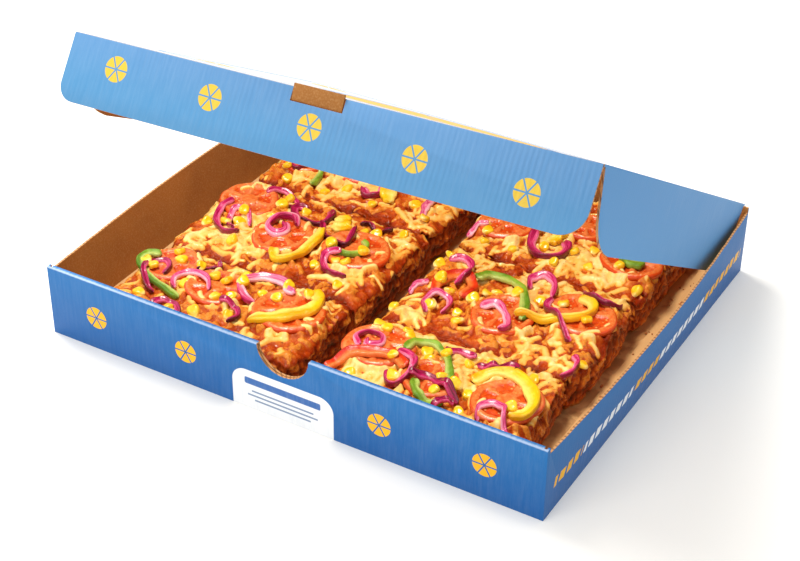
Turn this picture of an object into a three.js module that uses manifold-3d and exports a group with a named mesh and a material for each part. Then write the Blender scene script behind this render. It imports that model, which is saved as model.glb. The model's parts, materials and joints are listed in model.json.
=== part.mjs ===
// Family pizza, cut in six, in its open takeaway box.
// Millimetres, +Z up. The origin is the middle of the tray's underside; the
// front wall with its finger notch faces -Y and the lid is hinged along the back.

import * as THREE from 'three';
import { mergeVertices } from 'three/addons/utils/BufferGeometryUtils.js';
import Module from 'manifold-3d';

const wasm = await Module();
wasm.setup();

// ---------- driving dimensions ----------

const BOX = {
  width: 350,        // outside, left to right
  depth: 297.5,      // outside, front to back
  board: 1.5,        // corrugated card
  front: 50,         // front wall, rolled over to two layers
  side: 46.3,        // side walls, raw top edge
  back: 50.2,        // back wall, below the lid's crease
  bow: 5.6,          // how far the side walls' top edges lean out at mid length
  layerGap: 0.5,     // air between the two layers of the front wall
};
const NOTCH = { x: 2, radius: 18.2, depth: 17.5 };
const LID = {
  inset: 3.15,       // from the tray's sides
  length: 288,       // hinge crease to front crease
  hingeHeight: 51.25,
  openLeft: 29.4,    // degrees up from shut, at the left edge
  openRight: 31.6,   // the board is sprung, so the right edge stands higher
  sideFlap: 47,      // depth of the side flaps
  sideSlant: 21,     // how far their front edge slants back
  sideRound: 24,
  rearSlant: 9,
};
const FLAP = { depth: 41, lean: 36.5, leftRound: 11, rightRound: 16 };
const TAB = { width: 33, height: 7, slot: 7.6, rise: 2.2, lean: -8, proud: 1 };

const GAP = 0.35;           // clearance between pieces that touch
const LAY = 0.5;            // clearance under a topping, wider than GAP so that few need trimming
const SLICE_TOP = 28;       // mean height of the cheese
const SHOULDER = 7;         // how wide the slice's rounded edges are
const STACK_LIMIT = 39;     // no topping stands higher than this
const TOMATO = { thick: 4.6, sides: 13 };

const HALF_W = BOX.width / 2;
const HALF_D = BOX.depth / 2;
const FLOOR = BOX.board;
const rad = THREE.MathUtils.degToRad;

// Slices: x from the left wall, y from the front wall.
const SLICES = {
  left_front: { x: [26, 171], y: [16, 88], seed: 11 },
  left_middle: { x: [21, 172], y: [93, 184], seed: 23 },
  left_back: { x: [24, 171], y: [190, 284], seed: 37 },
  right_front: { x: [185, 322], y: [16, 88], seed: 41 },
  right_middle: { x: [185, 323], y: [93, 184], seed: 59 },
  right_back: { x: [185, 322], y: [190, 284], seed: 67 },
};

// Tomato slices: middle x, y and radius.
const TOMATOES = [
  [47, 65, 19], [87, 58, 19.5], [141, 60, 23],
  [44, 157, 21], [88, 132, 21], [140, 141, 23],
  [48, 224, 17], [88, 233, 20], [137, 240, 17],
  [208, 58, 22], [251, 45, 18], [300, 49, 21.5],
  [257, 126, 21], [299, 151, 22],
  [209, 225, 21], [300, 224, 21], [257, 246, 17],
];

// Pepper and onion strips: the points of a smooth run, then width and height.
const STRIPS = {
  green_pepper_1: [[[37, 68], [30, 63], [30, 54], [41, 46], [56, 42], [72, 38]], 4.5, 4],
  onion_1: [[[52, 50], [50, 59], [43, 63], [37, 55], [40, 45], [47, 39], [54, 36]], 3.4, 3.4],
  onion_2: [[[117, 56], [105, 61], [99, 70], [103, 82], [114, 86], [124, 83], [129, 76], [136, 75]], 5.5, 4],
  yellow_pepper_1: [[[144, 82], [153, 76], [154, 65], [146, 54], [136, 44], [124, 39]], 10, 4.5],
  onion_3: [[[37, 149], [35, 137], [40, 124], [51, 117], [61, 121]], 4.2, 4],
  onion_4: [[[93, 143], [85, 151], [76, 144], [77, 131], [86, 127], [90, 134], [84, 141]], 5, 5],
  onion_5: [[[84, 170], [77, 168], [79, 160], [90, 155], [101, 160], [103, 169], [98, 176]], 5, 4],
  onion_6: [[[103, 158], [110, 148], [120, 142], [132, 140], [131, 149], [128, 160]], 4, 4],
  yellow_pepper_2: [[[110, 173], [115, 164], [119, 154]], 12, 4.5],
  green_pepper_2: [[[124, 139], [130, 132], [139, 131], [146, 137], [146, 145], [140, 149]], 4.2, 4],
  onion_7: [[[137, 128], [128, 126], [130, 117], [139, 111], [150, 113]], 4.5, 4],
  yellow_pepper_3: [[[109, 149], [112, 137], [111, 123], [108, 110], [101, 105], [94, 113]], 7, 4.5],
  onion_8: [[[39, 222], [43, 212], [49, 208], [53, 215]], 4, 3.6],
  green_pepper_3: [[[60, 226], [66, 212], [68, 198]], 5, 4],
  onion_9: [[[113, 220], [115, 212], [108, 207], [101, 212]], 5.5, 4.5],
  yellow_pepper_4: [[[116, 230], [120, 216], [126, 206]], 10, 4.5],
  onion_10: [[[151, 226], [152, 212], [156, 200]], 5, 3.8],
  red_pepper_1: [[[190, 25], [196, 38], [210, 47], [224, 50], [235, 44]], 7, 4.8],
  onion_11: [[[222, 57], [233, 54], [240, 44], [237, 33], [230, 32], [226, 39]], 4.4, 4],
  green_pepper_4: [[[226, 59], [226, 71], [236, 77], [248, 69], [257, 57], [265, 43]], 4.6, 4],
  onion_12: [[[241, 37], [250, 43], [262, 41], [275, 36]], 4.6, 4],
  green_pepper_5: [[[246, 36], [251, 28], [260, 25], [268, 31]], 6, 4.5],
  yellow_pepper_5: [[[273, 56], [279, 67], [291, 71], [305, 65], [315, 53], [316, 41], [308, 34]], 8, 4.8],
  red_pepper_2: [[[208, 125], [204, 138], [209, 150], [218, 152], [226, 143], [225, 130]], 8, 4.8],
  onion_13: [[[197, 164], [205, 169], [213, 165], [217, 154], [214, 142]], 4.4, 4],
  onion_14: [[[242, 123], [250, 130], [260, 123], [266, 113], [263, 107]], 5, 4],
  green_pepper_6: [[[225, 151], [228, 162], [240, 164], [254, 156], [264, 141], [271, 124]], 5.6, 4.2],
  yellow_pepper_6: [[[291, 163], [301, 161], [304, 152], [297, 142], [283, 134], [264, 126]], 6.5, 4.8],
  onion_15: [[[290, 177], [293, 169], [303, 166], [313, 168], [315, 176]], 4, 3.8],
  onion_16: [[[257, 162], [253, 172], [260, 179], [269, 173], [274, 160]], 4.6, 4],
  onion_17: [[[277, 155], [278, 144], [290, 136], [304, 123]], 4, 3.6],
  onion_18: [[[232, 221], [235, 207], [246, 199], [256, 204], [258, 214], [252, 222]], 5.5, 4.5],
  yellow_pepper_7: [[[244, 216], [247, 228], [250, 240]], 8, 4.5],
  green_pepper_7: [[[294, 223], [302, 217], [310, 222]], 9, 4.5],
};

// Sweetcorn fused to each slice, where no other topping lies.
const CORN = {
  left_front: [[33, 57], [44, 77], [103, 53], [94, 80], [110, 38], [46, 32], [90, 30], [72, 27], [66, 52]],
  left_middle: [[33, 122], [52, 137], [63, 110], [68, 150], [66, 164], [122, 118], [140, 166], [156, 175]],
  left_back: [[80, 196], [92, 208], [72, 244], [110, 250], [142, 214], [118, 266], [58, 268], [34, 246]],
  right_front: [[196, 78], [216, 80], [240, 64], [259, 75], [279, 28], [207, 26], [275, 80], [302, 80]],
  right_middle: [[192, 176], [192, 157], [213, 112], [235, 108], [232, 132], [268, 158], [321, 107], [190, 105]],
  right_back: [[206, 197], [226, 199], [278, 205], [315, 198], [272, 226], [232, 262], [290, 256], [200, 264]],
};
const SHREDS_PER_SLICE = 3;       // grated cheese fused to each slice
const CRAGS_PER_SLICE = 5;        // lumps of topping along the slice's edges

const COLOURS = {
  card: 0x4a80c4, slice: 0xc8742c, tomato: 0xe04a22, onion: 0xa81e62,
  green_pepper: 0x7fa528, yellow_pepper: 0xf4c414, red_pepper: 0xd4381a,
};

// ---------- helpers ----------

// A small repeatable random source.
function randomFrom(seed) {
  let state = seed * 7919 + 17;
  return () => {
    state = (state * 48271) % 2147483647;
    return state / 2147483647;
  };
}

function solidOf(geometry) {
  const bare = geometry.clone();
  bare.deleteAttribute('normal');
  bare.deleteAttribute('uv');
  const merged = mergeVertices(bare, 1e-4);
  return new wasm.Manifold(new wasm.Mesh({
    numProp: 3,
    vertProperties: new Float32Array(merged.attributes.position.array),
    triVerts: new Uint32Array(merged.index.array),
  }));
}

// The largest body of a solid: scraps that a cut sets loose are dropped.
function mainBody(solid) {
  const bodies = solid.decompose();
  bodies.sort((a, b) => b.volume() - a.volume());
  return bodies[0];
}

function geometryOf(solid) {
  const mesh = solid.getMesh();
  const geometry = new THREE.BufferGeometry();
  const points = new Float32Array(mesh.numVert * 3);
  for (let i = 0; i < mesh.numVert; i += 1) {
    for (let k = 0; k < 3; k += 1) points[3 * i + k] = mesh.vertProperties[mesh.numProp * i + k];
  }
  geometry.setAttribute('position', new THREE.BufferAttribute(points, 3));
  geometry.setIndex(new THREE.BufferAttribute(new Uint32Array(mesh.triVerts), 1));
  return geometry;
}

// Moves every point of a geometry by a function of that point.
function bend(geometry, move) {
  const place = geometry.attributes.position;
  const point = new THREE.Vector3();
  for (let i = 0; i < place.count; i += 1) {
    point.fromBufferAttribute(place, i);
    move(point);
    place.setXYZ(i, point.x, point.y, point.z);
  }
  place.needsUpdate = true;
  return geometry;
}

// A box between two corners, with optional segments.
function block(low, high, segments = [1, 1, 1]) {
  const size = high.map((h, k) => h - low[k]);
  const geometry = new THREE.BoxGeometry(...size, ...segments);
  geometry.translate(...low.map((l, k) => l + size[k] / 2));
  return geometry;
}

// An outline in a plane, given a thickness along +Z.
function plate(shape, thickness, curveSegments = 5) {
  return new THREE.ExtrudeGeometry(shape, { depth: thickness, bevelEnabled: false, curveSegments });
}

function mesh(name, geometry, colour, roughness) {
  const material = new THREE.MeshStandardMaterial({ color: colour, roughness, metalness: 0 });
  const piece = new THREE.Mesh(geometry, material);
  piece.name = name;
  return piece;
}

// ---------- tray ----------

// The inside or outside of the tray: a box whose long sides lean out at mid length.
function trayShell(inset, low, high) {
  const corner = [-HALF_W + inset, -HALF_D + inset, low];
  const shell = block(corner, [HALF_W - inset, HALF_D - inset, high], [1, 12, 1]);
  return bend(shell, (p) => {
    const along = Math.sin(Math.PI * THREE.MathUtils.clamp((p.y + HALF_D) / BOX.depth, 0, 1));
    p.x += Math.sign(p.x) * BOX.bow * along * Math.max(p.z, 0) / BOX.side;
  });
}

function traySolid() {
  const above = BOX.back + 5;
  let tray = solidOf(trayShell(0, 0, above));
  tray = tray.subtract(solidOf(trayShell(BOX.board, FLOOR, above + 1)));

  // The front wall's inner layer, rolled over from the top.
  const roll = [BOX.board + BOX.layerGap, BOX.board * 2 + BOX.layerGap].map((d) => -HALF_D + d);
  const rollHalf = HALF_W - BOX.board * 2;
  const rollTop = BOX.front - BOX.board;
  tray = tray.add(solidOf(block([-rollHalf, roll[0], FLOOR - 0.5], [rollHalf, roll[1], BOX.front])));
  tray = tray.add(solidOf(block([-rollHalf, -HALF_D + 0.5, rollTop], [rollHalf, roll[1], BOX.front])));

  // Trim each wall to its own height.
  const far = HALF_W + 20;
  const cut = (low, high) => { tray = tray.subtract(solidOf(block(low, high))); };
  cut([-far, -HALF_D - 5, BOX.front], [far, roll[1] + 0.01, above + 5]);
  cut([-far, roll[1] + 0.005, BOX.side], [-HALF_W + 6, HALF_D - BOX.board, above + 5]);
  cut([HALF_W - 6, roll[1] + 0.005, BOX.side], [far, HALF_D - BOX.board, above + 5]);
  cut([-far, HALF_D - BOX.board - 0.005, BOX.back], [far, HALF_D + 5, above + 5]);

  // Finger notch through both layers of the front wall.
  const notch = new THREE.CylinderGeometry(NOTCH.radius, NOTCH.radius, 20, 28);
  notch.translate(NOTCH.x, -HALF_D, BOX.front + NOTCH.radius - NOTCH.depth);
  return tray.subtract(solidOf(notch));
}

// ---------- lid ----------

const hinge = new THREE.Vector3(0, HALF_D - BOX.board / 2, LID.hingeHeight);

// How far the lid stands open at a place across its width, in radians.
function openAt(x) {
  return rad(THREE.MathUtils.mapLinear(x, -HALF_W, HALF_W, LID.openLeft, LID.openRight));
}

// Carries a point of the shut lid, whose board lies flat at hinge height, to the open lid.
function raise(p) {
  const turn = openAt(p.x);
  const y = p.y - hinge.y;
  const z = p.z - hinge.z;
  p.y = hinge.y + y * Math.cos(turn) + z * Math.sin(turn);
  p.z = hinge.z - y * Math.sin(turn) + z * Math.cos(turn);
}

// Outline of a side flap: u runs forward from the hinge, v runs down.
function sideFlapShape() {
  const shape = new THREE.Shape();
  const frontTop = LID.length - 2.5;
  const reach = frontTop - LID.sideSlant;
  const half = BOX.board / 2;
  shape.moveTo(1.5, half);
  shape.lineTo(frontTop, half);
  shape.lineTo(frontTop - LID.sideSlant * 0.55, -LID.sideFlap * 0.5);
  shape.quadraticCurveTo(reach + 1, -LID.sideFlap + 3, reach - LID.sideRound, -LID.sideFlap);
  shape.lineTo(1.5 + LID.rearSlant, -LID.sideFlap);
  shape.closePath();
  return shape;
}

function lidSolid() {
  const half = BOX.board / 2;
  const edge = HALF_W - LID.inset;
  const frontEnd = hinge.y - LID.length + half + GAP;
  const low = [-edge, frontEnd, hinge.z - half];
  let lid = solidOf(block(low, [edge, hinge.y, hinge.z + half], [8, 8, 1]));

  // Rounded crease along the back.
  const crease = new THREE.CylinderGeometry(half, half, 2 * edge, 8);
  crease.rotateZ(Math.PI / 2);
  crease.translate(0, hinge.y, hinge.z);
  lid = lid.add(solidOf(crease));

  // Side flaps, hanging inside the tray's side walls.
  for (const side of [-1, 1]) {
    const flap = plate(sideFlapShape(), BOX.board, 6);
    flap.rotateX(Math.PI / 2);
    flap.rotateZ(-Math.PI / 2);
    flap.translate(side * (edge - half) + half, hinge.y, hinge.z);
    lid = lid.add(solidOf(flap));
  }

  // Lift tab, turned down in front of the front crease.
  const face = TAB.proud + half;
  const tab = block([-TAB.width / 2, -face, -TAB.height], [TAB.width / 2, BOX.board - face, half + TAB.rise]);
  tab.rotateX(-rad(TAB.lean));
  tab.translate(0, hinge.y - LID.length, hinge.z);
  const bridge = block([-TAB.width / 2, -half, -half], [TAB.width / 2, 2.5, half]);
  bridge.translate(0, hinge.y - LID.length, hinge.z);
  lid = lid.add(solidOf(tab)).add(solidOf(bridge));

  const geometry = geometryOf(lid);
  return bend(geometry, raise);
}

// ---------- front flap ----------

// Ends of the lid's front crease.
function creaseEnds() {
  return [-1, 1].map((side) => {
    const p = new THREE.Vector3(side * (HALF_W - LID.inset), hinge.y - LID.length, hinge.z);
    raise(p);
    return p;
  });
}

function flapGeometry() {
  const [left, right] = creaseEnds();
  const half = BOX.board / 2;
  const wide = left.distanceTo(right) / 2;
  const slot = TAB.width / 2 + 0.6;
  const deep = FLAP.depth;
  const shape = new THREE.Shape();
  shape.moveTo(-wide, 0);
  shape.lineTo(-wide, -deep + FLAP.leftRound);
  shape.absarc(-wide + FLAP.leftRound, -deep + FLAP.leftRound, FLAP.leftRound, Math.PI, 1.5 * Math.PI);
  shape.lineTo(wide - FLAP.rightRound, -deep);
  shape.absarc(wide - FLAP.rightRound, -deep + FLAP.rightRound, FLAP.rightRound, -Math.PI / 2, 0);
  shape.lineTo(wide, 0);
  shape.closePath();
  const board = plate(shape, BOX.board, 6);
  board.translate(0, 0, -half);

  const bead = new THREE.CylinderGeometry(half, half, 2 * wide, 8);
  bead.rotateZ(Math.PI / 2);
  const opening = block([-slot, -TAB.slot, -5], [slot, 5, 8]);
  const solid = solidOf(board).add(solidOf(bead)).subtract(solidOf(opening));
  const geometry = geometryOf(solid);

  // Stand the flap on the crease: x along it, y up the board, z out of its face.
  const along = right.clone().sub(left).normalize();
  const down = new THREE.Vector3(0, -Math.sin(rad(FLAP.lean)), -Math.cos(rad(FLAP.lean)));
  const out = new THREE.Vector3().crossVectors(along, down.clone().negate()).normalize();
  const up = new THREE.Vector3().crossVectors(out, along);
  const place = new THREE.Matrix4().makeBasis(along, up, out);
  place.setPosition(left.clone().add(right).multiplyScalar(0.5));
  return geometry.applyMatrix4(place);
}

// ---------- pizza ----------

const fromCorner = (x, y) => [x - HALF_W, y - HALF_D];

// Low waves of the cheese, the same all over the pizza.
function waves(x, y) {
  return 0.6 * Math.sin(x * 0.17 + 1.3) * Math.sin(y * 0.15 + 0.4)
    + 0.4 * Math.sin(x * 0.31 + y * 0.23);
}

// Height of the bare cheese at a place, with its edges dropping away.
function cheeseAt(slice, x, y) {
  const reach = (value, [low, high]) => Math.max(0, Math.min(value - low, high - value));
  const inX = Math.min(1, reach(x + HALF_W, slice.x) / SHOULDER);
  const inY = Math.min(1, reach(y + HALF_D, slice.y) / SHOULDER);
  const drop = (1 - inX) ** 2 + (1 - inY) ** 2;
  return SLICE_TOP + waves(x, y) - SHOULDER * 0.8 * Math.min(1.2, drop);
}

// A slab of dough and cheese with a rounded, uneven outline.
function slabGeometry(slice) {
  const [x0, y0] = fromCorner(slice.x[0], slice.y[0]);
  const [x1, y1] = fromCorner(slice.x[1], slice.y[1]);
  const middle = [(x0 + x1) / 2, (y0 + y1) / 2];
  const halfSize = [(x1 - x0) / 2, (y1 - y0) / 2];
  const slab = new THREE.BoxGeometry(2, 2, 1, 12, 8, 2);
  const spread = (t) => Math.sign(t) * Math.abs(t) ** 0.8;
  const phase = slice.seed;
  return bend(slab, (p) => {
    const a = spread(p.x);
    const b = spread(p.y);
    const pull = 1 - 0.045 * (a * b) ** 4;
    const rim = Math.max(Math.abs(a), Math.abs(b)) ** 6;
    const turn = Math.atan2(b, a);
    const ragged = rim * (0.8 * Math.sin(5 * turn + phase) + 0.6 * Math.sin(11 * turn + 2 * phase));
    const belly = rim * 1.2 * Math.sin(Math.PI * (p.z + 0.5));
    const x = middle[0] + a * (halfSize[0] * pull - 1.5 + belly) + Math.sign(a) * ragged;
    const y = middle[1] + b * (halfSize[1] * pull - 1.5 + belly) + Math.sign(b) * ragged;
    const low = FLOOR + GAP;
    p.set(x, y, low + (p.z + 0.5) * (cheeseAt(slice, x, y) - low));
  });
}

// Highest thing under a round patch: the cheese, or what is already laid on it.
function stackTop(x, y, radius, laid) {
  let top = SLICE_TOP + waves(x, y);
  for (let i = 0; i < 16; i += 1) {
    const reach = i % 2 ? radius : radius / 2;
    const px = x + reach * Math.cos(i * Math.PI / 8);
    const py = y + reach * Math.sin(i * Math.PI / 8);
    top = Math.max(top, SLICE_TOP + waves(px, py));
    for (const piece of laid) top = Math.max(top, piece.topAt(px, py));
  }
  return top + LAY;
}

function tomatoPiece([fromLeft, fromFront, radius], index) {
  const [x, y] = fromCorner(fromLeft, fromFront);
  const z = stackTop(x, y, radius, []);
  const shape = (grow) => {
    const r = radius + grow;
    const top = TOMATO.thick + grow;
    const profile = [[0, -grow], [r - 1, -grow], [r, TOMATO.thick * 0.5], [r - 2.2, top], [0, top - 0.4]];
    const disc = new THREE.LatheGeometry(profile.map(([a, b]) => new THREE.Vector2(a, b)), TOMATO.sides);
    disc.rotateX(Math.PI / 2);
    disc.rotateZ(index);
    disc.translate(x, y, z);
    return solidOf(disc);
  };
  const topAt = (px, py) => (Math.hypot(px - x, py - y) < radius + 1 ? z + TOMATO.thick : -1);
  return { name: `tomato_${index + 1}`, kind: 'tomato', solid: shape(0), grown: shape(GAP), topAt };
}

// A strip laid over the pizza along a smooth run.
class StripRun extends THREE.Curve {
  constructor(points, heights) {
    super();
    this.plan = new THREE.CatmullRomCurve3(points.map(([x, y]) => new THREE.Vector3(x, y, 0)));
    this.heights = heights;
  }

  getPoint(t, target = new THREE.Vector3()) {
    this.plan.getPoint(THREE.MathUtils.clamp(t, 0, 1), target);
    const step = THREE.MathUtils.clamp(t, 0, 1) * (this.heights.length - 1);
    const low = Math.min(Math.floor(step), this.heights.length - 2);
    target.z = THREE.MathUtils.lerp(this.heights[low], this.heights[low + 1], step - low);
    return target;
  }
}

// Section of a strip: a flattened hexagon, turned so that its width lies level.
function stripSection(width, height) {
  const outline = [[-0.5, 0], [-0.3, 0.5], [0.3, 0.5], [0.5, 0], [0.3, -0.5], [-0.3, -0.5]];
  return new THREE.Shape(outline.map(([a, b]) => new THREE.Vector2(b * height, a * width)));
}

function stripPiece(name, [corners, width, height], laid) {
  const points = corners.map(([x, y]) => fromCorner(x, y));
  const samples = 11;
  const flat = new StripRun(points, [0, 0]);
  const raw = [];
  for (let i = 0; i < samples; i += 1) {
    const p = flat.getPoint(i / (samples - 1));
    const rest = stackTop(p.x, p.y, width / 2, laid) + height / 2;
    raw.push(Math.min(rest, STACK_LIMIT - height / 2));
  }
  const heights = raw.map((_, i) => Math.max(
    raw[i],
    (raw[Math.max(i - 1, 0)] + raw[i] + raw[Math.min(i + 1, samples - 1)]) / 3,
  ));
  const run = new StripRun(points, heights);
  const steps = Math.max(5, Math.round(run.getLength() / 6.4));
  const shape = (grow) => solidOf(new THREE.ExtrudeGeometry(
    stripSection(width + 2 * grow, height + 2 * grow),
    { steps, extrudePath: run, bevelEnabled: false },
  ));
  const trail = Array.from({ length: 25 }, (_, i) => run.getPoint(i / 24));
  const topAt = (x, y) => {
    const near = trail.filter((p) => Math.hypot(p.x - x, p.y - y) < width / 2);
    return near.length ? Math.max(...near.map((p) => p.z)) + height / 2 : -1;
  };
  const kind = name.replace(/_\d+$/, '');
  return { name, kind, solid: shape(0), grown: shape(GAP), topAt };
}

// Toppings in the order they are laid; each is trimmed clear of those below it.
function layToppings() {
  const laid = [];
  const add = (piece) => {
    let solid = piece.solid;
    for (const below of laid) solid = solid.subtract(below.grown);
    laid.push({ ...piece, solid: mainBody(solid) });
  };
  TOMATOES.forEach((tomato, i) => add(tomatoPiece(tomato, i)));
  for (const [name, strip] of Object.entries(STRIPS)) add(stripPiece(name, strip, laid));
  return laid;
}

// Lumps fused to a slice: corn, shreds of cheese and crags along its edges.
function lumps(slice, kernels, laid) {
  const random = randomFrom(slice.seed);
  const pieces = [];
  const free = (x, y, room) => [[0, 0], [room, 0], [-room, 0], [0, room], [0, -room]]
    .every(([dx, dy]) => laid.every((piece) => piece.topAt(x + dx, y + dy) < 0));
  for (const [fromLeft, fromFront] of kernels) {
    const [x, y] = fromCorner(fromLeft, fromFront);
    if (free(x, y, 5)) {
      const kernel = new THREE.IcosahedronGeometry(1, 0);
      kernel.scale(5, 4.2, 3.4);
      kernel.rotateX(random() * 0.8);
      kernel.rotateZ(random() * Math.PI);
      kernel.translate(x, y, cheeseAt(slice, x, y) + 1.6);
      pieces.push(solidOf(kernel));
    }
  }
  let shreds = 0;
  for (let tries = 0; shreds < SHREDS_PER_SLICE && tries < 400; tries += 1) {
    const [x, y] = fromCorner(
      THREE.MathUtils.lerp(slice.x[0] + 9, slice.x[1] - 9, random()),
      THREE.MathUtils.lerp(slice.y[0] + 9, slice.y[1] - 9, random()),
    );
    if (free(x, y, 5)) {
      const shred = new THREE.CylinderGeometry(1.7, 1.3, 14 + 6 * random(), 5, 1);
      shred.rotateZ(random() * Math.PI);
      shred.translate(x, y, cheeseAt(slice, x, y) + 0.7);
      pieces.push(solidOf(shred));
      shreds += 1;
    }
  }
  for (let i = 0; i < CRAGS_PER_SLICE; i += 1) {
    const across = (i + 0.3 + 0.4 * random()) / CRAGS_PER_SLICE * 2;
    const front = across < 1;
    const edge = across - (front ? 0 : 1);
    const [x, y] = fromCorner(
      front ? THREE.MathUtils.lerp(slice.x[0] + 12, slice.x[1] - 12, edge) : slice.x[1] - 2.5,
      front ? slice.y[0] + 2.5 : THREE.MathUtils.lerp(slice.y[0] + 12, slice.y[1] - 12, edge),
    );
    const crag = new THREE.IcosahedronGeometry(1, 0);
    crag.scale(5 + 2 * random(), 3.4, 3 + 2 * random());
    crag.rotateZ(front ? 0 : Math.PI / 2);
    crag.translate(x, y, 13 + 8 * random());
    pieces.push(solidOf(crag));
  }
  return pieces;
}

function sliceSolid(slice, kernels, laid) {
  let solid = solidOf(slabGeometry(slice));
  for (const lump of lumps(slice, kernels, laid)) solid = solid.add(lump);
  for (const piece of laid) solid = solid.subtract(piece.grown);
  return mainBody(solid);
}

// ---------- assembly ----------

const group = new THREE.Group();
group.name = 'pizza_in_box';
group.add(mesh('tray', geometryOf(traySolid()), COLOURS.card, 0.6));
group.add(mesh('lid', lidSolid(), COLOURS.card, 0.6));
group.add(mesh('front_flap', flapGeometry(), COLOURS.card, 0.6));

const toppings = layToppings();
for (const [name, slice] of Object.entries(SLICES)) {
  group.add(mesh(`slice_${name}`, geometryOf(sliceSolid(slice, CORN[name], toppings)), COLOURS.slice, 0.5));
}
for (const piece of toppings) {
  group.add(mesh(piece.name, geometryOf(piece.solid), COLOURS[piece.kind], 0.35));
}

export default group;
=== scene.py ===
import json
import math

import bmesh
import bpy
import numpy as np
from mathutils import Matrix, Vector


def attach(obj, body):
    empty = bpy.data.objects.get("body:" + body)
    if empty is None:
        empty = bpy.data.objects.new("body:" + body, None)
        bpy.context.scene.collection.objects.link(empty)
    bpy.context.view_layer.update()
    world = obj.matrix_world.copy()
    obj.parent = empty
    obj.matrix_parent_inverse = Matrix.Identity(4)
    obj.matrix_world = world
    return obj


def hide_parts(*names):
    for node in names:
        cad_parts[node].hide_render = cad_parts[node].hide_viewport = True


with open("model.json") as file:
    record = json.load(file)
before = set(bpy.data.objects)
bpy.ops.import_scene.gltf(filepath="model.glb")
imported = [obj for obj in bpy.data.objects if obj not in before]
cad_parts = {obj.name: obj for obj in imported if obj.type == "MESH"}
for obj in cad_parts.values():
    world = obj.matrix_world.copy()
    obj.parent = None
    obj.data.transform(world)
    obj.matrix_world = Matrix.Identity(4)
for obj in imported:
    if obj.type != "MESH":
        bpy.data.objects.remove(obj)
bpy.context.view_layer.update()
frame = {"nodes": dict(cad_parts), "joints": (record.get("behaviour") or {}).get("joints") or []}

# Blender's own lengths are metres in the object's frame. The box's places are
# given in millimetres from the tray's front left corner, as its maker would.
MM = 0.001
BOX_W, BOX_D = 350.0, 297.5
BOARD = 1.5                      # thickness of the corrugated board
FRONT_H = 50.0                   # front wall
LID_L, HINGE_H = 288.0, 51.25    # lid from crease to crease, and its hinge above the floor
LID_OPEN = (29.4, 31.6)          # degrees at the left and the right edge
LID_SPRUNG = 14.0                # how far the lid's top may lie below its plane
FLAP_LEAN = 36.5                 # degrees that the front flap hangs from upright
ROLLED_WALL = 5.0                # depth of the front wall's two layers
NOTCH_X, NOTCH_HALF, NOTCH_LOW = 2.0, 18.6, 30.0    # finger notch: middle, half width and foot
TAB_HALF, TAB_DEEP = 18.0, 2.6   # half the width of the tab's cut, and how far it goes into the lid
ROUNDED = 0.2                    # radius of the card's edges
PIZZA = ((21, 322), (16, 284))
SLICE_TOP = 28.0
SHOULDER = 7.0                   # how far in a slice's top starts to round off
TUCKED_FLAP = 13.0               # y of the front flap's inner face when the box is shut
TOMATO_THICK = 4.6
TOPPING_LIMIT = 40.0             # height that no strip passes
KERNEL_LIMIT = 38.5              # height that no kernel's middle passes

# Slices: x range, y range and seed of their unevenness.
SLICES = {
    "left_front": ((26, 171), (16, 88), 11),
    "left_middle": ((21, 172), (93, 184), 23),
    "left_back": ((24, 171), (190, 284), 37),
    "right_front": ((185, 322), (16, 88), 41),
    "right_middle": ((185, 323), (93, 184), 59),
    "right_back": ((185, 322), (190, 284), 67),
}

# Tomato slices: x, y and radius.
TOMATOES = [
    (47, 65, 19), (87, 58, 19.5), (141, 60, 23),
    (44, 157, 21), (88, 132, 21), (140, 141, 23),
    (48, 224, 17), (88, 233, 20), (137, 240, 17),
    (208, 58, 22), (251, 45, 18), (300, 49, 21.5),
    (257, 126, 21), (299, 151, 22),
    (209, 225, 21), (300, 224, 21), (257, 246, 17),
]

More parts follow.
